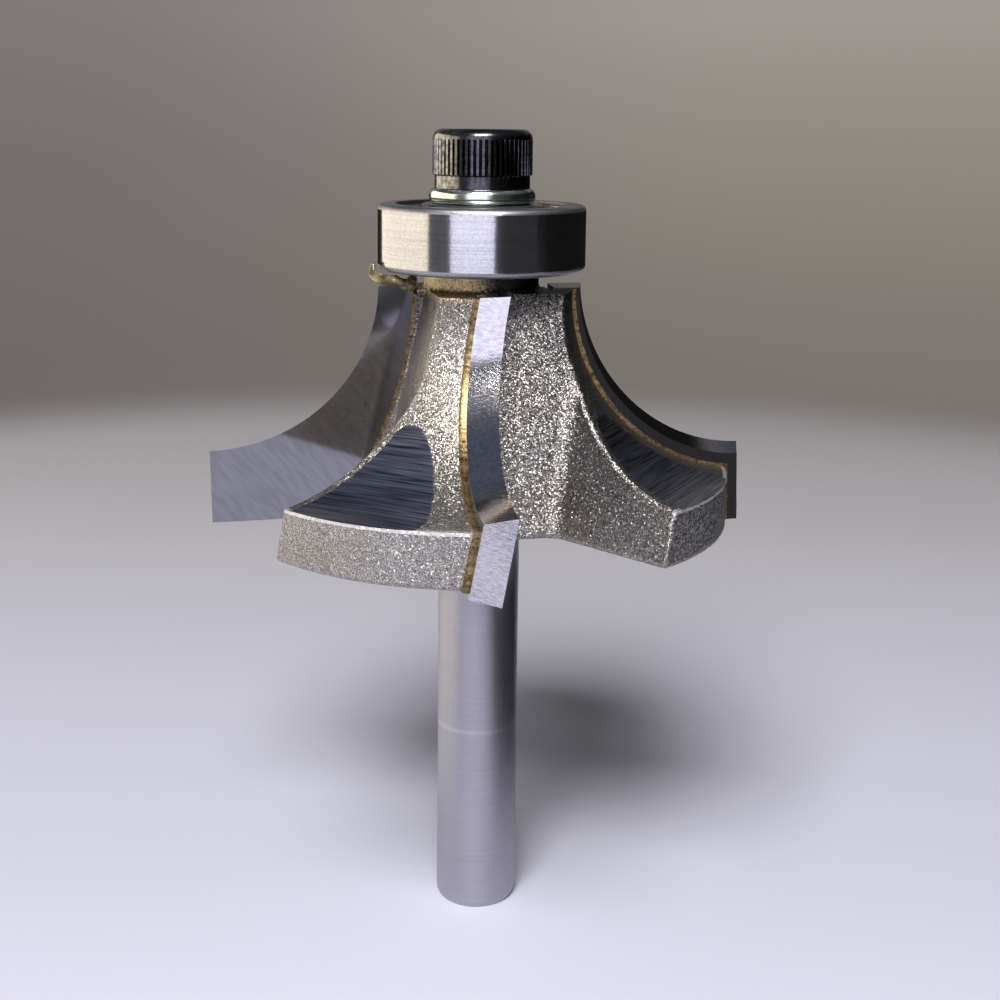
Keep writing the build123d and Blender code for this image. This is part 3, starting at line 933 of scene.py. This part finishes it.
@dataclass(frozen=True)
class CutterSteel:
    """Alloy steel of the body, blasted all over and then ground on its shank and facets."""

    blasted: BlastedSteel = BlastedSteel()
    shank: GroundShank = GroundShank()
    facet: GroundFacet = GroundFacet()
    seam_mm: float = 0.01

    def build(self) -> bpy.types.Material:
        """Makes the material.

        Returns:
            The material.
        """
        made, tree = new_material("grit_blasted_steel")
        spot = millimetres(tree)
        facet_spot = wing_frame(tree, spot, self.facet.lag)
        axes = add_node(tree, "ShaderNodeSeparateXYZ", {0: spot})
        on_shank = add_node(tree, "ShaderNodeMath", {0: axes.outputs[2], 1: SHANK_LENGTH_MM + self.seam_mm},
                            operation="LESS_THAN")
        upper = add_node(tree, "ShaderNodeMixShader",
                         {0: self.facet.mask(tree, facet_spot), 1: self.blasted.skin(tree, spot).outputs[0],
                          2: self.facet.skin(tree, facet_spot).outputs[0]})
        whole = add_node(tree, "ShaderNodeMixShader",
                         {0: on_shank.outputs[0], 1: upper.outputs[0],
                          2: self.shank.skin(tree, spot).outputs[0]})
        add_node(tree, "ShaderNodeOutputMaterial", {0: whole.outputs[0]})
        return made


@dataclass(frozen=True)
class GroundCarbide:
    """Cemented carbide, ground: dark mirrors on the flat side, broken bands on the profile.

    The rake face is fine ground and mirrors its surroundings. The cutting profile has
    coarser wheel marks across it, which break the light into pale lines, and a film of
    oil gives those a faint play of colours.
    """

    dark: str = "828286"
    light: str = "8c8c91"
    rake_roughness: float = 0.1
    rake_mark_mm: float = 0.35
    rake_mark_length_mm: float = 9.0
    rake_depth_mm: float = 0.00008
    edge_roughness: float = 0.11
    edge_mark_mm: float = 0.16
    edge_mark_length_mm: float = 4.0
    edge_depth_mm: float = 0.007
    edge_slant: float = 0.3
    land_mark_mm: float = 0.2
    land_mark_length_mm: float = 3.0
    land_radius_mm: float = 20.55
    film: Ramp = ((0.3, "c2c5ce"), (0.45, "cbcbd2"), (0.55, "cec7cc"), (0.7, "c6cbcc"))
    film_mm: float = 0.909
    skin_mm: float = 0.01

    def rake(self, tree: Tree, spot: Socket) -> bpy.types.Node:
        """Adds the fine ground rake face.

        Args:
            tree: The node tree.
            spot: The point, in the wing's frame.

        Returns:
            The shader node.
        """
        lines = marks(tree, spot, Grain.DIAGONAL, self.rake_mark_mm, self.rake_mark_length_mm, 1.0)
        bump = add_node(tree, "ShaderNodeBump", {"Height": lines, "Distance": self.rake_depth_mm * MM})
        tint = add_node(tree, "ShaderNodeMapRange", {0: lines, FROM_LOW: 0.35, FROM_HIGH: 0.65})
        colour = add_node(tree, "ShaderNodeMix",
                          {SHARE: tint.outputs[0], FIRST_COLOUR: linear(self.dark),
                           SECOND_COLOUR: linear(self.light)}, data_type="RGBA")
        return finish_metal(tree, colour.outputs[MIXED], self.rake_roughness, bump.outputs[0])

    def profile(self, tree: Tree, spot: Socket) -> bpy.types.Node:
        """Adds the wheel marks across the cutting profile.

        Args:
            tree: The node tree.
            spot: The point, in the wing's frame.

        Returns:
            The shader node.
        """
        axes = add_node(tree, "ShaderNodeSeparateXYZ", {0: spot})
        slant = add_node(tree, "ShaderNodeMath",
                         {0: axes.outputs[1], 1: self.edge_slant, 2: axes.outputs[2]},
                         operation="MULTIPLY_ADD")
        sheared = add_node(tree, "ShaderNodeCombineXYZ",
                           {0: axes.outputs[0], 1: axes.outputs[1], 2: slant.outputs[0]}).outputs[0]
        lines = marks(tree, sheared, Grain.ALONG, self.edge_mark_mm, self.edge_mark_length_mm, 3.0)
        crossed = marks(tree, spot, Grain.DIAGONAL, self.land_mark_mm, self.land_mark_length_mm)
        land = add_node(tree, "ShaderNodeMath", {0: axes.outputs[0], 1: self.land_radius_mm},
                        operation="GREATER_THAN")
        height = add_node(tree, "ShaderNodeMath", {0: crossed, 1: land.outputs[0], 2: lines},
                          operation="MULTIPLY_ADD")
        bump = add_node(tree, "ShaderNodeBump",
                        {"Height": height.outputs[0], "Distance": self.edge_depth_mm * MM})
        oil = add_node(tree, "ShaderNodeTexNoise",
                       {"Vector": sheared, "Scale": 1 / self.film_mm, "Detail": 2.0})
        film = add_node(tree, "ShaderNodeValToRGB", {0: oil.outputs["Fac"]})
        set_stops(film, self.film)
        tint = add_node(tree, "ShaderNodeMapRange",
                        {0: lines, FROM_LOW: 0.3, FROM_HIGH: 0.7, TO_LOW: 0.62, TO_HIGH: 1.0})
        colour = add_node(tree, "ShaderNodeVectorMath", {0: film.outputs[0], "Scale": tint.outputs[0]},
                          operation="SCALE")
        return finish_metal(tree, colour.outputs[0], self.edge_roughness, bump.outputs[0])

    def build(self) -> bpy.types.Material:
        """Makes the material, with the rake face where a point lies on the blade's front.

        Returns:
            The material.
        """
        made, tree = new_material("ground_carbide")
        spot = wing_frame(tree, millimetres(tree))
        shear = math.radians(BLADE_SHEAR)
        behind = add_node(tree, "ShaderNodeVectorMath", {0: spot, 1: (0.0, BLADE_HOOK_MM, CUT_TOP_MM)},
                          operation="SUBTRACT")
        depth = add_node(tree, "ShaderNodeVectorMath",
                         {0: behind.outputs[0], 1: (0.0, -math.cos(shear), math.sin(shear))},
                         operation="DOT_PRODUCT")
        edge = add_node(tree, "ShaderNodeMath", {0: depth.outputs["Value"], 1: self.skin_mm},
                        operation="GREATER_THAN")
        mixed = add_node(tree, "ShaderNodeMixShader",
                         {0: edge.outputs[0], 1: self.rake(tree, spot).outputs[0],
                          2: self.profile(tree, spot).outputs[0]})
        add_node(tree, "ShaderNodeOutputMaterial", {0: mixed.outputs[0]})
        return made


@dataclass(frozen=True)
class PlainMetal:
    """A metal with one skin: marks of its making, a fine speckle and a tint.

    The marks run one way, the speckle is the grain of the metal under them, and the
    anisotropy is how far its gloss is drawn out across marks that run around the axis.
    Real marks are finer than 0.05 mm, so they are drawn mark_mm wide to show.
    """

    name: str
    dark: str
    light: str
    roughness: float
    run: Grain = Grain.AROUND
    mark_mm: float = 0.08
    mark_length_mm: float = 8.0
    mark_depth_mm: float = 0.001
    speckle_mm: float = 0.2
    speckle_depth_mm: float = 0.0
    anisotropy: float = 0.0

    def tint(self, tree: Tree, spot: Socket, grain: Socket) -> Socket:
        """Colours the metal by its grain.

        Args:
            tree: The node tree.
            spot: The point, in millimetres; not used.
            grain: The height of marks and speckle, from 0 to 2.

        Returns:
            The colour.
        """
        share = add_node(tree, "ShaderNodeMapRange", {0: grain, FROM_LOW: 0.7, FROM_HIGH: 1.3})
        return add_node(tree, "ShaderNodeMix",
                        {SHARE: share.outputs[0], FIRST_COLOUR: linear(self.dark),
                         SECOND_COLOUR: linear(self.light)}, data_type="RGBA").outputs[MIXED]

    def skin(self, tree: Tree, spot: Socket) -> bpy.types.Node:
        """Adds the shader.

        Args:
            tree: The node tree.
            spot: The point, in millimetres.

        Returns:
            The shader node.
        """
        lines = marks(tree, spot, self.run, self.mark_mm, self.mark_length_mm)
        speckle = add_node(tree, "ShaderNodeTexNoise",
                           {"Vector": spot, "Scale": 1 / self.speckle_mm, "Detail": 2.0}).outputs["Fac"]
        cut = add_node(tree, "ShaderNodeBump", {"Height": lines, "Distance": self.mark_depth_mm * MM})
        bump = add_node(tree, "ShaderNodeBump",
                        {"Height": speckle, "Distance": self.speckle_depth_mm * MM,
                         "Normal": cut.outputs[0]})
        grain = add_node(tree, "ShaderNodeMath", {0: lines, 1: speckle})
        return finish_metal(tree, self.tint(tree, spot, grain.outputs[0]), self.roughness,
                            bump.outputs[0], self.anisotropy)

    def build(self) -> bpy.types.Material:
        """Makes the material.

        Returns:
            The material.
        """
        made, tree = new_material(self.name)
        add_node(tree, "ShaderNodeOutputMaterial", {0: self.skin(tree, millimetres(tree)).outputs[0]})
        return made


@dataclass(frozen=True)
class RingSteel(PlainMetal):
    """Bearing ring: bands of light on its ground rim, and dull, scuffed broken edges."""

    middle_mm: float = 53.689
    land_mm: float = 2.07
    edge_dark: str = "77777b"
    edge_light: str = "b8b8bc"
    edge_roughness: float = 0.42

    def skin(self, tree: Tree, spot: Socket) -> bpy.types.Node:
        """Adds the shader.

        Args:
            tree: The node tree.
            spot: The point, in millimetres.

        Returns:
            The shader node.
        """
        axes = add_node(tree, "ShaderNodeSeparateXYZ", {0: spot})
        above = add_node(tree, "ShaderNodeMath", {0: axes.outputs[2], 1: self.middle_mm},
                         operation="SUBTRACT")
        far = add_node(tree, "ShaderNodeMath", {0: above.outputs[0]}, operation="ABSOLUTE")
        edge = add_node(tree, "ShaderNodeMath", {0: far.outputs[0], 1: self.land_mm},
                        operation="GREATER_THAN")
        scuffed = PlainMetal(self.name, self.edge_dark, self.edge_light, self.edge_roughness,
                             speckle_mm=0.12, speckle_depth_mm=0.012)
        return add_node(tree, "ShaderNodeMixShader",
                        {0: edge.outputs[0], 1: super().skin(tree, spot).outputs[0],
                         2: scuffed.skin(tree, spot).outputs[0]})


@dataclass(frozen=True)
class KnurledOxide(PlainMetal):
    """Black oxide of the screw: painted shade in the valleys of its knurl, and a painted reflection on one
    side.
    """

    knurl_mm: tuple[float, float] = (58.3, 61.05)
    valley_mm: float = 3.68
    ridge_mm: float = 3.78
    # Painted shade in the valleys of the knurl
    valley_shade: float = 0.1
    # Painted reflection on one side of the head
    painted_reflection: str = "a09e9b"
    reflection_side: float = 193.0
    reflection_patch_mm: float = 0.3846

    def ridge_shade(self, tree: Tree, spot: Socket) -> Socket:
        """Darkens the valleys of the knurl with painted shade.

        Args:
            tree: The node tree.
            spot: The point, in millimetres.

        Returns:
            The share of its light that the point keeps.
        """
        axes = add_node(tree, "ShaderNodeSeparateXYZ", {0: spot})
        above = add_node(tree, "ShaderNodeMath", {0: axes.outputs[2], 1: self.knurl_mm[0]},
                         operation="GREATER_THAN")
        below = add_node(tree, "ShaderNodeMath", {0: axes.outputs[2], 1: self.knurl_mm[1]},
                         operation="LESS_THAN")
        knurl = add_node(tree, "ShaderNodeMath", {0: above.outputs[0], 1: below.outputs[0]},
                         operation="MULTIPLY")
        ridge = add_node(tree, "ShaderNodeMapRange",
                         {0: axis_distance(tree, spot), FROM_LOW: self.valley_mm,
                          FROM_HIGH: self.ridge_mm, TO_LOW: self.valley_shade, TO_HIGH: 1.0})
        return add_node(tree, "ShaderNodeMix", {0: knurl.outputs[0], 2: 1.0, 3: ridge.outputs[0]}).outputs[0]

    def tint(self, tree: Tree, spot: Socket, grain: Socket) -> Socket:
        """Colours the oxide, with a painted reflection on one side and painted shade in the valleys.

        Args:
            tree: The node tree.
            spot: The point, in millimetres.
            grain: The height of marks and speckle, from 0 to 2.

        Returns:
            The colour.
        """
        # Patches of the painted reflection
        painted_glint = add_node(tree, "ShaderNodeTexNoise",
                        {"Vector": spot, "Scale": 1 / self.reflection_patch_mm, "Detail": 6.0})
        gate = add_node(tree, "ShaderNodeMapRange",
                        {0: painted_glint.outputs["Fac"], FROM_LOW: 0.36, FROM_HIGH: 0.60, TO_LOW: 0.15,
                         TO_HIGH: 1.0})
        reflection_share = add_node(tree, "ShaderNodeMath",
                       {0: towards(tree, spot, self.reflection_side, 0.7, 0.97), 1: gate.outputs[0]},
                       operation="MULTIPLY")
        mixed = add_node(tree, "ShaderNodeMix",
                         {SHARE: reflection_share.outputs[0], FIRST_COLOUR: super().tint(tree, spot, grain),
                          SECOND_COLOUR: linear(self.painted_reflection)}, data_type="RGBA")
        return add_node(tree, "ShaderNodeVectorMath",
                        {0: mixed.outputs[MIXED], "Scale": self.ridge_shade(tree, spot)},
                        operation="SCALE").outputs[0]


@dataclass(frozen=True)
class Resin:
    """Baked-on wood resin: a glossy, cloudy amber that lets some light through."""

    pale: str = "a8a27e"
    amber: str = "54431c"
    roughness: float = 0.16
    clear: float = 0.55
    cloud_mm: float = 1.111
    dimple_mm: float = 0.05

    def build(self) -> bpy.types.Material:
        """Makes the material.

        Returns:
            The material.
        """
        made, tree = new_material("wood_resin")
        clouds = add_node(tree, "ShaderNodeTexNoise",
                          {"Vector": millimetres(tree), "Scale": 1 / self.cloud_mm, "Detail": 3.0}
                          ).outputs["Fac"]
        tint = add_node(tree, "ShaderNodeMapRange", {0: clouds, FROM_LOW: 0.4, FROM_HIGH: 0.62})
        colour = add_node(tree, "ShaderNodeMix",
                          {SHARE: tint.outputs[0], FIRST_COLOUR: linear(self.amber),
                           SECOND_COLOUR: linear(self.pale)}, data_type="RGBA")
        bump = add_node(tree, "ShaderNodeBump", {"Height": clouds, "Distance": self.dimple_mm * MM})
        skin = add_node(tree, "ShaderNodeBsdfPrincipled",
                        {"Base Color": colour.outputs[MIXED], "Roughness": self.roughness,
                         "Transmission Weight": self.clear, "Normal": bump.outputs[0]})
        add_node(tree, "ShaderNodeOutputMaterial", {0: skin.outputs[0]})
        return made


# ------------------------------------------------------------------ pieces of the bit
def dress(material: bpy.types.Material, *names: str) -> None:
    """Gives nodes of the frame their finish.

    Args:
        material: The finish.
        *names: The nodes' names.
    """
    for name in names:
        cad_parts[name].material_slots[0].material = material
        LOG.info("%s: %s", name, material.name)


@dataclass
class CutterBody:
    """Steel body, one piece from the end of its shank to the bearing's spigot."""

    steel: CutterSteel = CutterSteel()

    def build(self) -> None:
        """Dresses the body."""
        dress(self.steel.build(), "cutter_body")


@dataclass
class BladeSet:
    """Carbide blades and the braze that holds them to the wings."""

    carbide: GroundCarbide = GroundCarbide()
    # Silver braze, wiped and tarnished: a dull gold line with brown spots
    braze: PlainMetal = PlainMetal("silver_braze", "4a3a24", "ccb482", 0.38, mark_mm=0.3,
                                   mark_length_mm=0.6, mark_depth_mm=0.02, speckle_depth_mm=0.02)

    def build(self) -> None:
        """Dresses blades and braze."""
        wings = range(1, WINGS + 1)
        dress(self.carbide.build(), *(f"carbide_blade_{wing}" for wing in wings))
        dress(self.braze.build(), *(f"braze_layer_{wing}" for wing in wings))


@dataclass
class PilotBearing:
    """Ball bearing that guides the bit, with the round wires that hold its shields."""

    balls: int = 8
    wire_sides: int = 12
    wire_sweep: float = 330.0
    wire_steps: int = 110
    # Chrome steel, ground: clear bands of light with fine level lines
    ring: RingSteel = RingSteel("ground_bearing_steel", "a6a6ac", "c6c6ca", 0.16, mark_mm=0.09,
                                mark_length_mm=12.0, mark_depth_mm=0.0015, speckle_mm=0.16,
                                speckle_depth_mm=0.0012, anisotropy=0.6)
    # The same steel, less finely ground: a greyer gleam
    bore: PlainMetal = PlainMetal("honed_bearing_steel", "9a9a9e", "bcbcc0", 0.22)
    # Chrome steel, polished: small sharp highlights
    ball: PlainMetal = PlainMetal("polished_chrome_steel", "b4b4b8", "c8c8cc", 0.05, mark_depth_mm=0.0)
    # Mild steel strip, pressed: a soft grey
    cage: PlainMetal = PlainMetal("pressed_mild_steel", "808080", "a0a0a0", 0.35)
    # Mild steel sheet, pressed and oiled: dark olive grey
    shield: PlainMetal = PlainMetal("oiled_pressed_steel", "3a3a32", "5e5c50", 0.32, speckle_depth_mm=0.004)
    # Spring steel, drawn: a thin bright line
    wire: PlainMetal = PlainMetal("drawn_spring_steel", "808084", "a8a8a4", 0.3)

    def snap_wire(self, side: str, material: bpy.types.Material) -> None:
        """Spins a round snap wire into the groove of its square stand-in.

        Args:
            side: "lower" or "upper".
            material: Its finish.
        """
        low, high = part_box(f"snap_wire_{side}")
        size = high[2] - low[2]
        reach = high[0] - size / 2
        made = bmesh.new()
        section = bmesh.ops.create_circle(made, cap_ends=True, segments=self.wire_sides,
                                          radius=size / 2)["verts"]
        bmesh.ops.rotate(made, matrix=Matrix.Rotation(math.radians(90), 3, "X"), verts=section)
        bmesh.ops.translate(made, vec=(reach, 0, low[2] + size / 2), verts=section)
        bmesh.ops.spin(made, geom=made.faces[:], axis=(0, 0, 1), cent=(0, 0, 0), steps=self.wire_steps,
                       angle=math.radians(self.wire_sweep), use_merge=False)
        piece = new_object(f"round_snap_wire_{side}", made, material)
        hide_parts(f"snap_wire_{side}")
        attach(piece, "outer_race")

    def build(self) -> None:
        """Dresses the bearing and adds its wires."""
        dress(self.ring.build(), "bearing_outer_ring")
        dress(self.bore.build(), "bearing_inner_ring")
        dress(self.ball.build(), *(f"bearing_ball_{ball}" for ball in range(1, self.balls + 1)))
        dress(self.cage.build(), "bearing_cage_lower", "bearing_cage_upper")
        dress(self.shield.build(), "bearing_shield_lower", "bearing_shield_upper")
        drawn = self.wire.build()
        dress(drawn, "snap_wire_lower", "snap_wire_upper")
        for side in ("lower", "upper"):
            self.snap_wire(side, drawn)


@dataclass
class Washer:
    """Washer between the bearing's inner ring and the screw."""

    # Zinc plate with a yellow passivate: bright, with a faint greenish cast
    zinc: PlainMetal = PlainMetal("bright_zinc_plate", "bccacf", "f4f4e0", 0.19, mark_mm=0.5,
                                  mark_length_mm=2.0, mark_depth_mm=0.008, speckle_mm=0.6,
                                  speckle_depth_mm=0.012)

    def build(self) -> None:
        """Dresses the washer."""
        dress(self.zinc.build(), "washer")


@dataclass(frozen=True)
class ScrewRing:
    """One ring of points around the screw."""

    reach_mm: float
    height_mm: float
    shape: RingShape = RingShape.ROUND


@dataclass
class CapScrew:
    """Knurled socket cap screw, raised as one ring after another from tip to socket.

    Each ridge of the knurl is drawn by a few rays from the axis. A ray is a place along
    the ridge's pitch, from 0 to 1, and its share of the knurl's depth.
    """

    ridges: int = 56
    ridge_rays: tuple[tuple[float, float], ...] = ((0.0, 0.0), (0.44, 0.0), (0.60, 1.0), (0.84, 1.0))
    shank_radius_mm: float = 2.4
    tip_chamfer_mm: float = 0.5
    collar_radius_mm: float = 3.625
    collar_height_mm: float = 0.9
    head_height_mm: float = 4.4
    head_radius_mm: float = 3.8
    knurl_depth_mm: float = 0.14
    run_out_mm: float = 0.12
    crown_mm: float = 0.75
    crown_steps: int = 8
    socket_flats_mm: float = 3.97
    socket_depth_mm: float = 2.4
    socket_chamfer_mm: float = 0.25
    # Steel, blackened in hot salts: near black, with a sheen on its round faces
    oxide: KnurledOxide = KnurledOxide("black_oxide", "303034", "5c5c60", 0.22, mark_mm=0.2,
                                       mark_length_mm=1.5, mark_depth_mm=0.003, speckle_mm=0.15,
                                       speckle_depth_mm=0.003)

    def hexagon(self, turn: float) -> float:
        """Gives the socket's reach from the axis in the direction of an angle in radians."""
        corner = math.radians(60)
        return self.socket_flats_mm / 2 / math.cos((turn + corner / 2) % corner - corner / 2)

    def rings(self, low: float, top: float) -> list[ScrewRing]:
        """Lists the rings from the tip, over the head and down into the socket.

        Args:
            low: Height of the tip in millimetres.
            top: Height of the head in millimetres.

        Returns:
            The rings in order.
        """
        seat = top - self.head_height_mm
        collar = seat + self.collar_height_mm
        rim = top - self.crown_mm
        mouth = self.socket_flats_mm / 2 / math.cos(math.radians(30)) + self.socket_chamfer_mm
        rings = [ScrewRing(self.shank_radius_mm - self.tip_chamfer_mm, low),
                 ScrewRing(self.shank_radius_mm, low + self.tip_chamfer_mm),
                 ScrewRing(self.shank_radius_mm, seat),
                 ScrewRing(self.collar_radius_mm, seat),
                 ScrewRing(self.collar_radius_mm, collar),
                 ScrewRing(self.head_radius_mm, collar + self.run_out_mm, RingShape.KNURLED),
                 ScrewRing(self.head_radius_mm, rim - self.run_out_mm, RingShape.KNURLED)]
        for step in range(self.crown_steps + 1):
            turn = math.radians(90 * step / self.crown_steps)
            rings.append(ScrewRing(self.head_radius_mm - self.crown_mm * (1 - math.cos(turn)),
                                   rim + self.crown_mm * math.sin(turn)))
        return rings + [ScrewRing(mouth, top), ScrewRing(mouth, top, RingShape.MOUTH),
                        ScrewRing(mouth, top - self.socket_depth_mm, RingShape.HEXAGON)]

    def point(self, ring: ScrewRing, turn: float, share: float) -> Vector:
        """Finds where a ray meets a ring.

        Args:
            ring: The ring.
            turn: The ray's angle in radians.
            share: The ray's share of the knurl's depth.

        Returns:
            The point in millimetres.
        """
        reach, height = ring.reach_mm, ring.height_mm
        if ring.shape is RingShape.KNURLED:
            reach -= share * self.knurl_depth_mm
        elif ring.shape is not RingShape.ROUND:
            reach = self.hexagon(turn)
        if ring.shape is RingShape.MOUTH:
            height -= ring.reach_mm - reach
        return Vector((reach * math.cos(turn), reach * math.sin(turn), height))

    def raised(self) -> bmesh.types.BMesh:
        """Raises the screw between the heights of its stand-in.

        Returns:
            The shape, in metres.
        """
        low, top = (corner[2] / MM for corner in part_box("cap_screw"))
        rays = [(2 * math.pi * (ridge + place) / self.ridges, share)
                for ridge in range(self.ridges) for place, share in self.ridge_rays]
        made = bmesh.new()
        rim = bmesh.ops.create_circle(made, cap_ends=True, segments=len(rays), radius=1.0)["verts"]
        edges = made.edges[:]
        for index, ring in enumerate(self.rings(low, top)):
            if index:
                rim, edges = grow(made, edges)
            rim.sort(key=lambda vert: math.atan2(vert.co.y, vert.co.x) % (2 * math.pi))
            for vert, (turn, share) in zip(rim, rays):
                vert.co = self.point(ring, turn, share)
        bmesh.ops.contextual_create(made, geom=rim)
        bmesh.ops.scale(made, vec=(MM, MM, MM), verts=made.verts)
        return made

    def build(self) -> None:
        """Dresses the screw and puts the knurled one in its place."""
        blackened = self.oxide.build()
        dress(blackened, "cap_screw")
        piece = new_object("knurled_cap_screw", self.raised(), blackened)
        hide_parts("cap_screw")
        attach(piece, "cutter")


@dataclass(frozen=True)
class Station:
    """A place along the run of resin, its bearing counted from +X, and its half thickness."""

    bearing: float
    reach_mm: float
    height_mm: float
    thickness_mm: float

    def centre(self) -> Vector:
        """Gives the middle of the run there, in millimetres."""
        turn = math.radians(self.bearing)
        return Vector((self.reach_mm * math.cos(turn), self.reach_mm * math.sin(turn), self.height_mm))


@dataclass
class ResinResidue:
    """Lumpy run of resin under the bearing's edge, from its rim in to the neck.

    It stays below the ceiling wherever it is inside the bearing's rim. Its rings are
    squared up by the direction across the run, which keeps them from twisting.
    """

    stations: tuple[Station, ...] = (
        Station(182.0, 8.40, 51.85, 0.14), Station(182.5, 8.46, 51.45, 0.26),
        Station(184.0, 8.50, 51.00, 0.34), Station(187.0, 8.30, 50.72, 0.42),
        Station(192.0, 7.85, 50.60, 0.44), Station(198.0, 7.30, 50.56, 0.44),
        Station(204.0, 6.75, 50.52, 0.42), Station(209.0, 6.30, 50.42, 0.34),
    )
    across: Vector = Vector((0.69, 0.72, 0.0))
    sides: int = 14
    cuts: int = 2
    lump_mm: float = 0.13
    lumps_per_mm: float = 1.3
    ceiling_mm: float = 51.13
    rim_mm: float = 8.0
    smooth_angle: float = 60.0
    resin: Resin = Resin()

    def ring(self, mesh: bmesh.types.BMesh, index: int) -> list[bmesh.types.BMEdge]:
        """Adds the ring of one station, square to the run.

        Args:
            mesh: The bmesh that takes it.
            index: The station's place in the run.

        Returns:
            The ring's edges.
        """
        last = len(self.stations) - 1
        centre = self.stations[index].centre()
        ahead = self.stations[min(index + 1, last)].centre()
        way = (ahead - self.stations[max(index - 1, 0)].centre()).normalized()
        across = (self.across - way * way.dot(self.across)).normalized()
        facing = Matrix((across, way.cross(across), way)).transposed().to_4x4()
        verts = bmesh.ops.create_circle(mesh, cap_ends=index in (0, last), segments=self.sides,
                                        radius=self.stations[index].thickness_mm,
                                        matrix=Matrix.Translation(centre) @ facing)["verts"]
        return [edge for edge in mesh.edges if all(vert in verts for vert in edge.verts)]

    def roughen(self, mesh: bmesh.types.BMesh) -> None:
        """Pushes the points about into lumps, and keeps them under the bearing.

        Args:
            mesh: The run, in millimetres.
        """
        for vert in mesh.verts:
            vert.co += noise.noise_vector(vert.co * self.lumps_per_mm) * self.lump_mm
            if vert.co.xy.length < self.rim_mm:
                vert.co.z = min(vert.co.z, self.ceiling_mm)

    def build(self) -> None:
        """Lofts the run through its stations and makes it lumpy."""
        made = bmesh.new()
        rings = [self.ring(made, index) for index in range(len(self.stations))]
        for near, far in zip(rings, rings[1:]):
            bmesh.ops.bridge_loops(made, edges=near + far)
        bmesh.ops.subdivide_edges(made, edges=made.edges[:], cuts=self.cuts, use_grid_fill=True, smooth=1.0)
        self.roughen(made)
        bmesh.ops.scale(made, vec=(MM, MM, MM), verts=made.verts)
        piece = new_object("resin_residue", made, self.resin.build(), self.smooth_angle)
        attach(piece, "cutter")


def main() -> None:
    """Builds the studio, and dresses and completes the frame."""
    logging.basicConfig(level=logging.INFO, format="%(message)s")
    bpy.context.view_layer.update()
    Studio().build()
    for piece in (CutterBody(), BladeSet(), PilotBearing(), Washer(), CapScrew(), ResinResidue()):
        piece.build()


if __name__ == "__main__":
    main()
